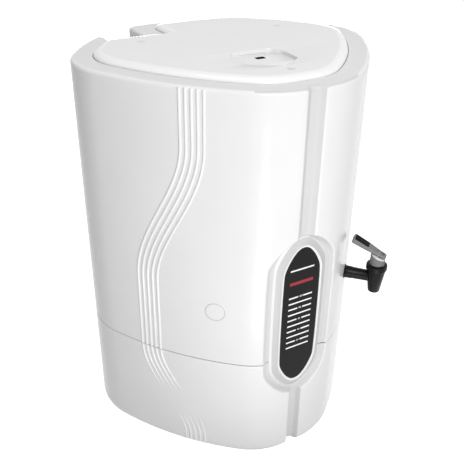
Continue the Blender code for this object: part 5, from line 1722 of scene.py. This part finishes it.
@dataclass
class PortPlug:
    """The round blank cover at the tap's twin place, following the wall."""

    plan: Plan
    place: float = 0.107
    height: float = 0.226
    radius: float = 0.0130
    rise: float = 0.0005
    sunk: float = -0.0006
    profile_shares: tuple[Point, ...] = (
        (0.99, 0.2), (0.975, 0.5), (0.95, 0.5), (0.935, 0.2), (0.88, 0.2),
        (0.865, 0.9), (0.845, 1.0), (0.6, 1.0), (0.3, 1.0), (0.002, 1.0),
    )
    # where the ring of painted shade for the gap lies
    gap_shade_shares: Point = (0.885, 0.930)
    gap_shade_rise_share: float = 0.35
    steps: int = 64
    smooth_angle: float = 50.0

    def ring(self, share: float, rise: float) -> list[Place]:
        """A circle on the wall.

        Args:
            share: Its radius, as a share of the cover's.
            rise: How far it lies outside the wall.

        Returns:
            Its points.
        """
        loop = circle(self.radius * share, steps=self.steps)
        points = self.plan.sample([x - self.place for x, _ in loop], -rise)
        return [(x, y, self.height + z) for (x, y), (_, z) in zip(points, loop)]

    def build(self) -> None:
        """The cover's disc with a fine rounded edge, and a grey ring round it that is painted shade for the
        gap.
        """
        skin = Skin("blank_cover", Body.CASING, Paint.CASING)
        rings = [self.ring(share, self.rise * high) for share, high in self.profile_shares]
        skin.loft([self.ring(self.profile_shares[0][0], self.sunk), *rings])
        skin.done("port_plug", angle=self.smooth_angle)
        # grey ring of painted shade for the gap round the cover
        joint = Skin("blank_cover_gap_painted_shade", Body.CASING, Paint.PLUG_GAP_SHADE)
        joint.loft([self.ring(share, self.rise * self.gap_shade_rise_share) for share in self.gap_shade_shares])
        joint.done()


# Solids that keep their shape


def numbered(name: str, count: int) -> list[str]:
    """The names of a repeated solid, numbered from 1."""
    return [f"{name}_{number}" for number in range(1, count + 1)]


@dataclass
class KeptSolids:
    """Solids whose own shape is right, each given its finish."""

    finishes: dict[Paint, tuple[str, ...]] = field(
        default_factory=lambda: {
            Paint.TANK: ("inner_tank", "tank_cover"),
            Paint.SILICONE: ("neck_seal",),
            # vent_filter is painted black so that the slot above it shows dark: painted shade
            Paint.BLACK: ("vent_filter", "tap_nut", "level_sensor"),
            Paint.RUBBER: ("vent_seal", "tap_seal", "seat_cup", "sensor_lead", *numbered("foot", 4)),
            Paint.STEEL: (
                *numbered("lid_screw", 3), *numbered("seam_screw", 2),
                "valve_stem", "lever_pin", "drain_cock",
            ),
            Paint.BAR: ("light_guide",),
            Paint.ALARM: ("alarm_bar",),
            Paint.BOARD: ("display_board",),
            Paint.GREY: ("tap_spacer",),
            Paint.BLUE: ("inlet_fitting", "drain_handle"),
            Paint.WHITE_PART: ("return_fitting", "overflow_fitting", "drain_pipe", "drain_valve"),
        }
    )

    def build(self) -> None:
        """Dresses each solid."""
        for paint, names in self.finishes.items():
            for name in names:
                solid = frame["nodes"][name]
                if not solid.material_slots:
                    solid.data.materials.append(paint.material())
                for slot in solid.material_slots:
                    slot.material = paint.material()
                LOG.info("%s kept, %s", name, paint.value.name)


# Studio


@dataclass
class Lamp:
    """One soft area lamp."""

    name: str
    place: Place
    size: Point
    power: float
    lies_along: float | None = None
    target: Place = (0.0, 0.0, 0.25)

    def build(self) -> None:
        """The lamp, aimed at the reservoir, or lying flat and shining up along a bearing in degrees."""
        light = bpy.data.lights.new(self.name, "AREA")
        light.shape = "RECTANGLE"
        light.size, light.size_y = self.size
        light.energy = self.power
        lamp = bpy.data.objects.new(self.name, light)
        lamp.location = self.place
        aim = Vector(self.target) - Vector(self.place)
        lamp.rotation_euler = aim.to_track_quat("-Z", "Y").to_euler()
        if self.lies_along is not None:
            lamp.rotation_euler = (math.pi, 0.0, math.radians(self.lies_along + 90.0))
            lamp.visible_camera = False
        bpy.context.scene.collection.objects.link(lamp)


@dataclass
class Studio:
    """White surroundings, a pale floor, soft lamps and the camera."""

    level: float = 0.24
    floor_size: float = 12.0
    floor_colour: Place = (0.68, 0.68, 0.68)
    floor_mottle: float = 0.99
    floor_mottle_scale: float = 3.0
    floor_lift: float = 0.84
    camera_place: Place = (-0.3932, -0.6876, 0.6933)
    camera_turn: Place = (60.431, -0.7553, -29.27)
    lens: float = 51.76
    clip_start: float = 0.01
    lamps: tuple[Lamp, ...] = (
        Lamp("front_softbox", (-0.36, -1.97, 1.93), (1.0, 1.0), 40.0),
        Lamp("floor_card", (-0.30, -0.86, 0.004), (0.14, 1.0), 3.4, -109.0),
        Lamp("top_softbox", (0.0, 0.0, 2.4), (1.4, 1.4), 12.0),
        Lamp("rear_softbox", (1.05, 1.85, 0.26), (1.2, 0.44), 14.0),
    )

    def seen(self, nodes: bpy.types.Nodes, links: bpy.types.NodeLinks) -> Socket:
        """A value of 1 for rays that show the background: camera, glossy and transmission rays.

        Args:
            nodes: The tree's nodes.
            links: The tree's links.

        Returns:
            The value socket.
        """
        path = nodes.new("ShaderNodeLightPath")
        total = path.outputs["Is Camera Ray"]
        for name in ("Is Glossy Ray", "Is Transmission Ray"):
            most = nodes.new("ShaderNodeMath")
            most.operation = "MAXIMUM"
            links.new(total, most.inputs[0])
            links.new(path.outputs[name], most.inputs[1])
            total = most.outputs[0]
        return total

    def world(self) -> None:
        """White where it is seen, and a plain level of light elsewhere."""
        world = bpy.data.worlds.new("studio")
        world.use_nodes = True
        nodes, links = world.node_tree.nodes, world.node_tree.links
        background = preset(nodes["Background"], Color=(1.0, 1.0, 1.0, 1.0))
        strength = preset(nodes.new("ShaderNodeMapRange"), To_Min=self.level, To_Max=1.0)
        links.new(self.seen(nodes, links), strength.inputs["Value"])
        links.new(strength.outputs["Result"], background.inputs["Strength"])
        bpy.context.scene.world = world

    def floor(self) -> None:
        """A pale floor that shows white and keeps the soft shadow."""
        shape = bmesh.new()
        bmesh.ops.create_grid(shape, x_segments=1, y_segments=1, size=self.floor_size / 2)
        mesh = bpy.data.meshes.new("studio_floor")
        shape.to_mesh(mesh)
        shape.free()
        floor = bpy.data.objects.new("studio_floor", mesh)
        bpy.context.scene.collection.objects.link(floor)
        shader = Shader("floor_white")
        preset(shader.principled, Roughness=1.0, Specular_IOR_Level=0.0, Emission_Color=(1.0, 1.0, 1.0, 1.0))
        dark = shade(self.floor_colour, self.floor_mottle)
        mottle = shader.mixed(shader.noise(self.floor_mottle_scale), dark, self.floor_colour)
        shader.feed(mottle, "Base Color")
        glow = shader.new("Math")
        glow.operation = "MULTIPLY"
        glow.inputs[1].default_value = self.floor_lift
        shader.links.new(self.seen(shader.nodes, shader.links), glow.inputs[0])
        shader.feed(glow.outputs[0], "Emission Strength")
        mesh.materials.append(shader.material)

    def camera(self) -> None:
        """The camera at the photograph's place."""
        data = bpy.data.cameras.new("camera")
        data.lens = self.lens
        data.clip_start = self.clip_start
        camera = bpy.data.objects.new("camera", data)
        camera.location = self.camera_place
        camera.rotation_euler = [math.radians(angle) for angle in self.camera_turn]
        bpy.context.scene.collection.objects.link(camera)
        bpy.context.scene.camera = camera

    def build(self) -> None:
        """World, floor, lamps and camera."""
        bpy.context.scene.view_settings.view_transform = "Standard"
        self.world()
        self.floor()
        self.camera()
        for lamp in self.lamps:
            lamp.build()


def write_sizes() -> None:
    """Updates the view layer so that every piece's place is current.
    """
    bpy.context.view_layer.update()


def main() -> None:
    """Builds the studio and every piece, in order."""
    logging.basicConfig(level=logging.INFO, format="%(name)s: %(message)s")
    Studio().build()
    plan, heights = Plan(), Heights()
    lid, pocket = LidOutline(plan), Pocket(plan)
    parts = (
        KeptSolids(),
        Casing(plan, heights, FrontRelief(plan), lid, pocket),
        WaveRibs(plan, heights),
        Lid(plan, heights, lid),
        Display(plan),
        Tap(),
        PortPlug(plan),
    )
    for part in parts:
        LOG.info("building %s", type(part).__name__)
        part.build()
    write_sizes()


if __name__ == "__main__":
    main()
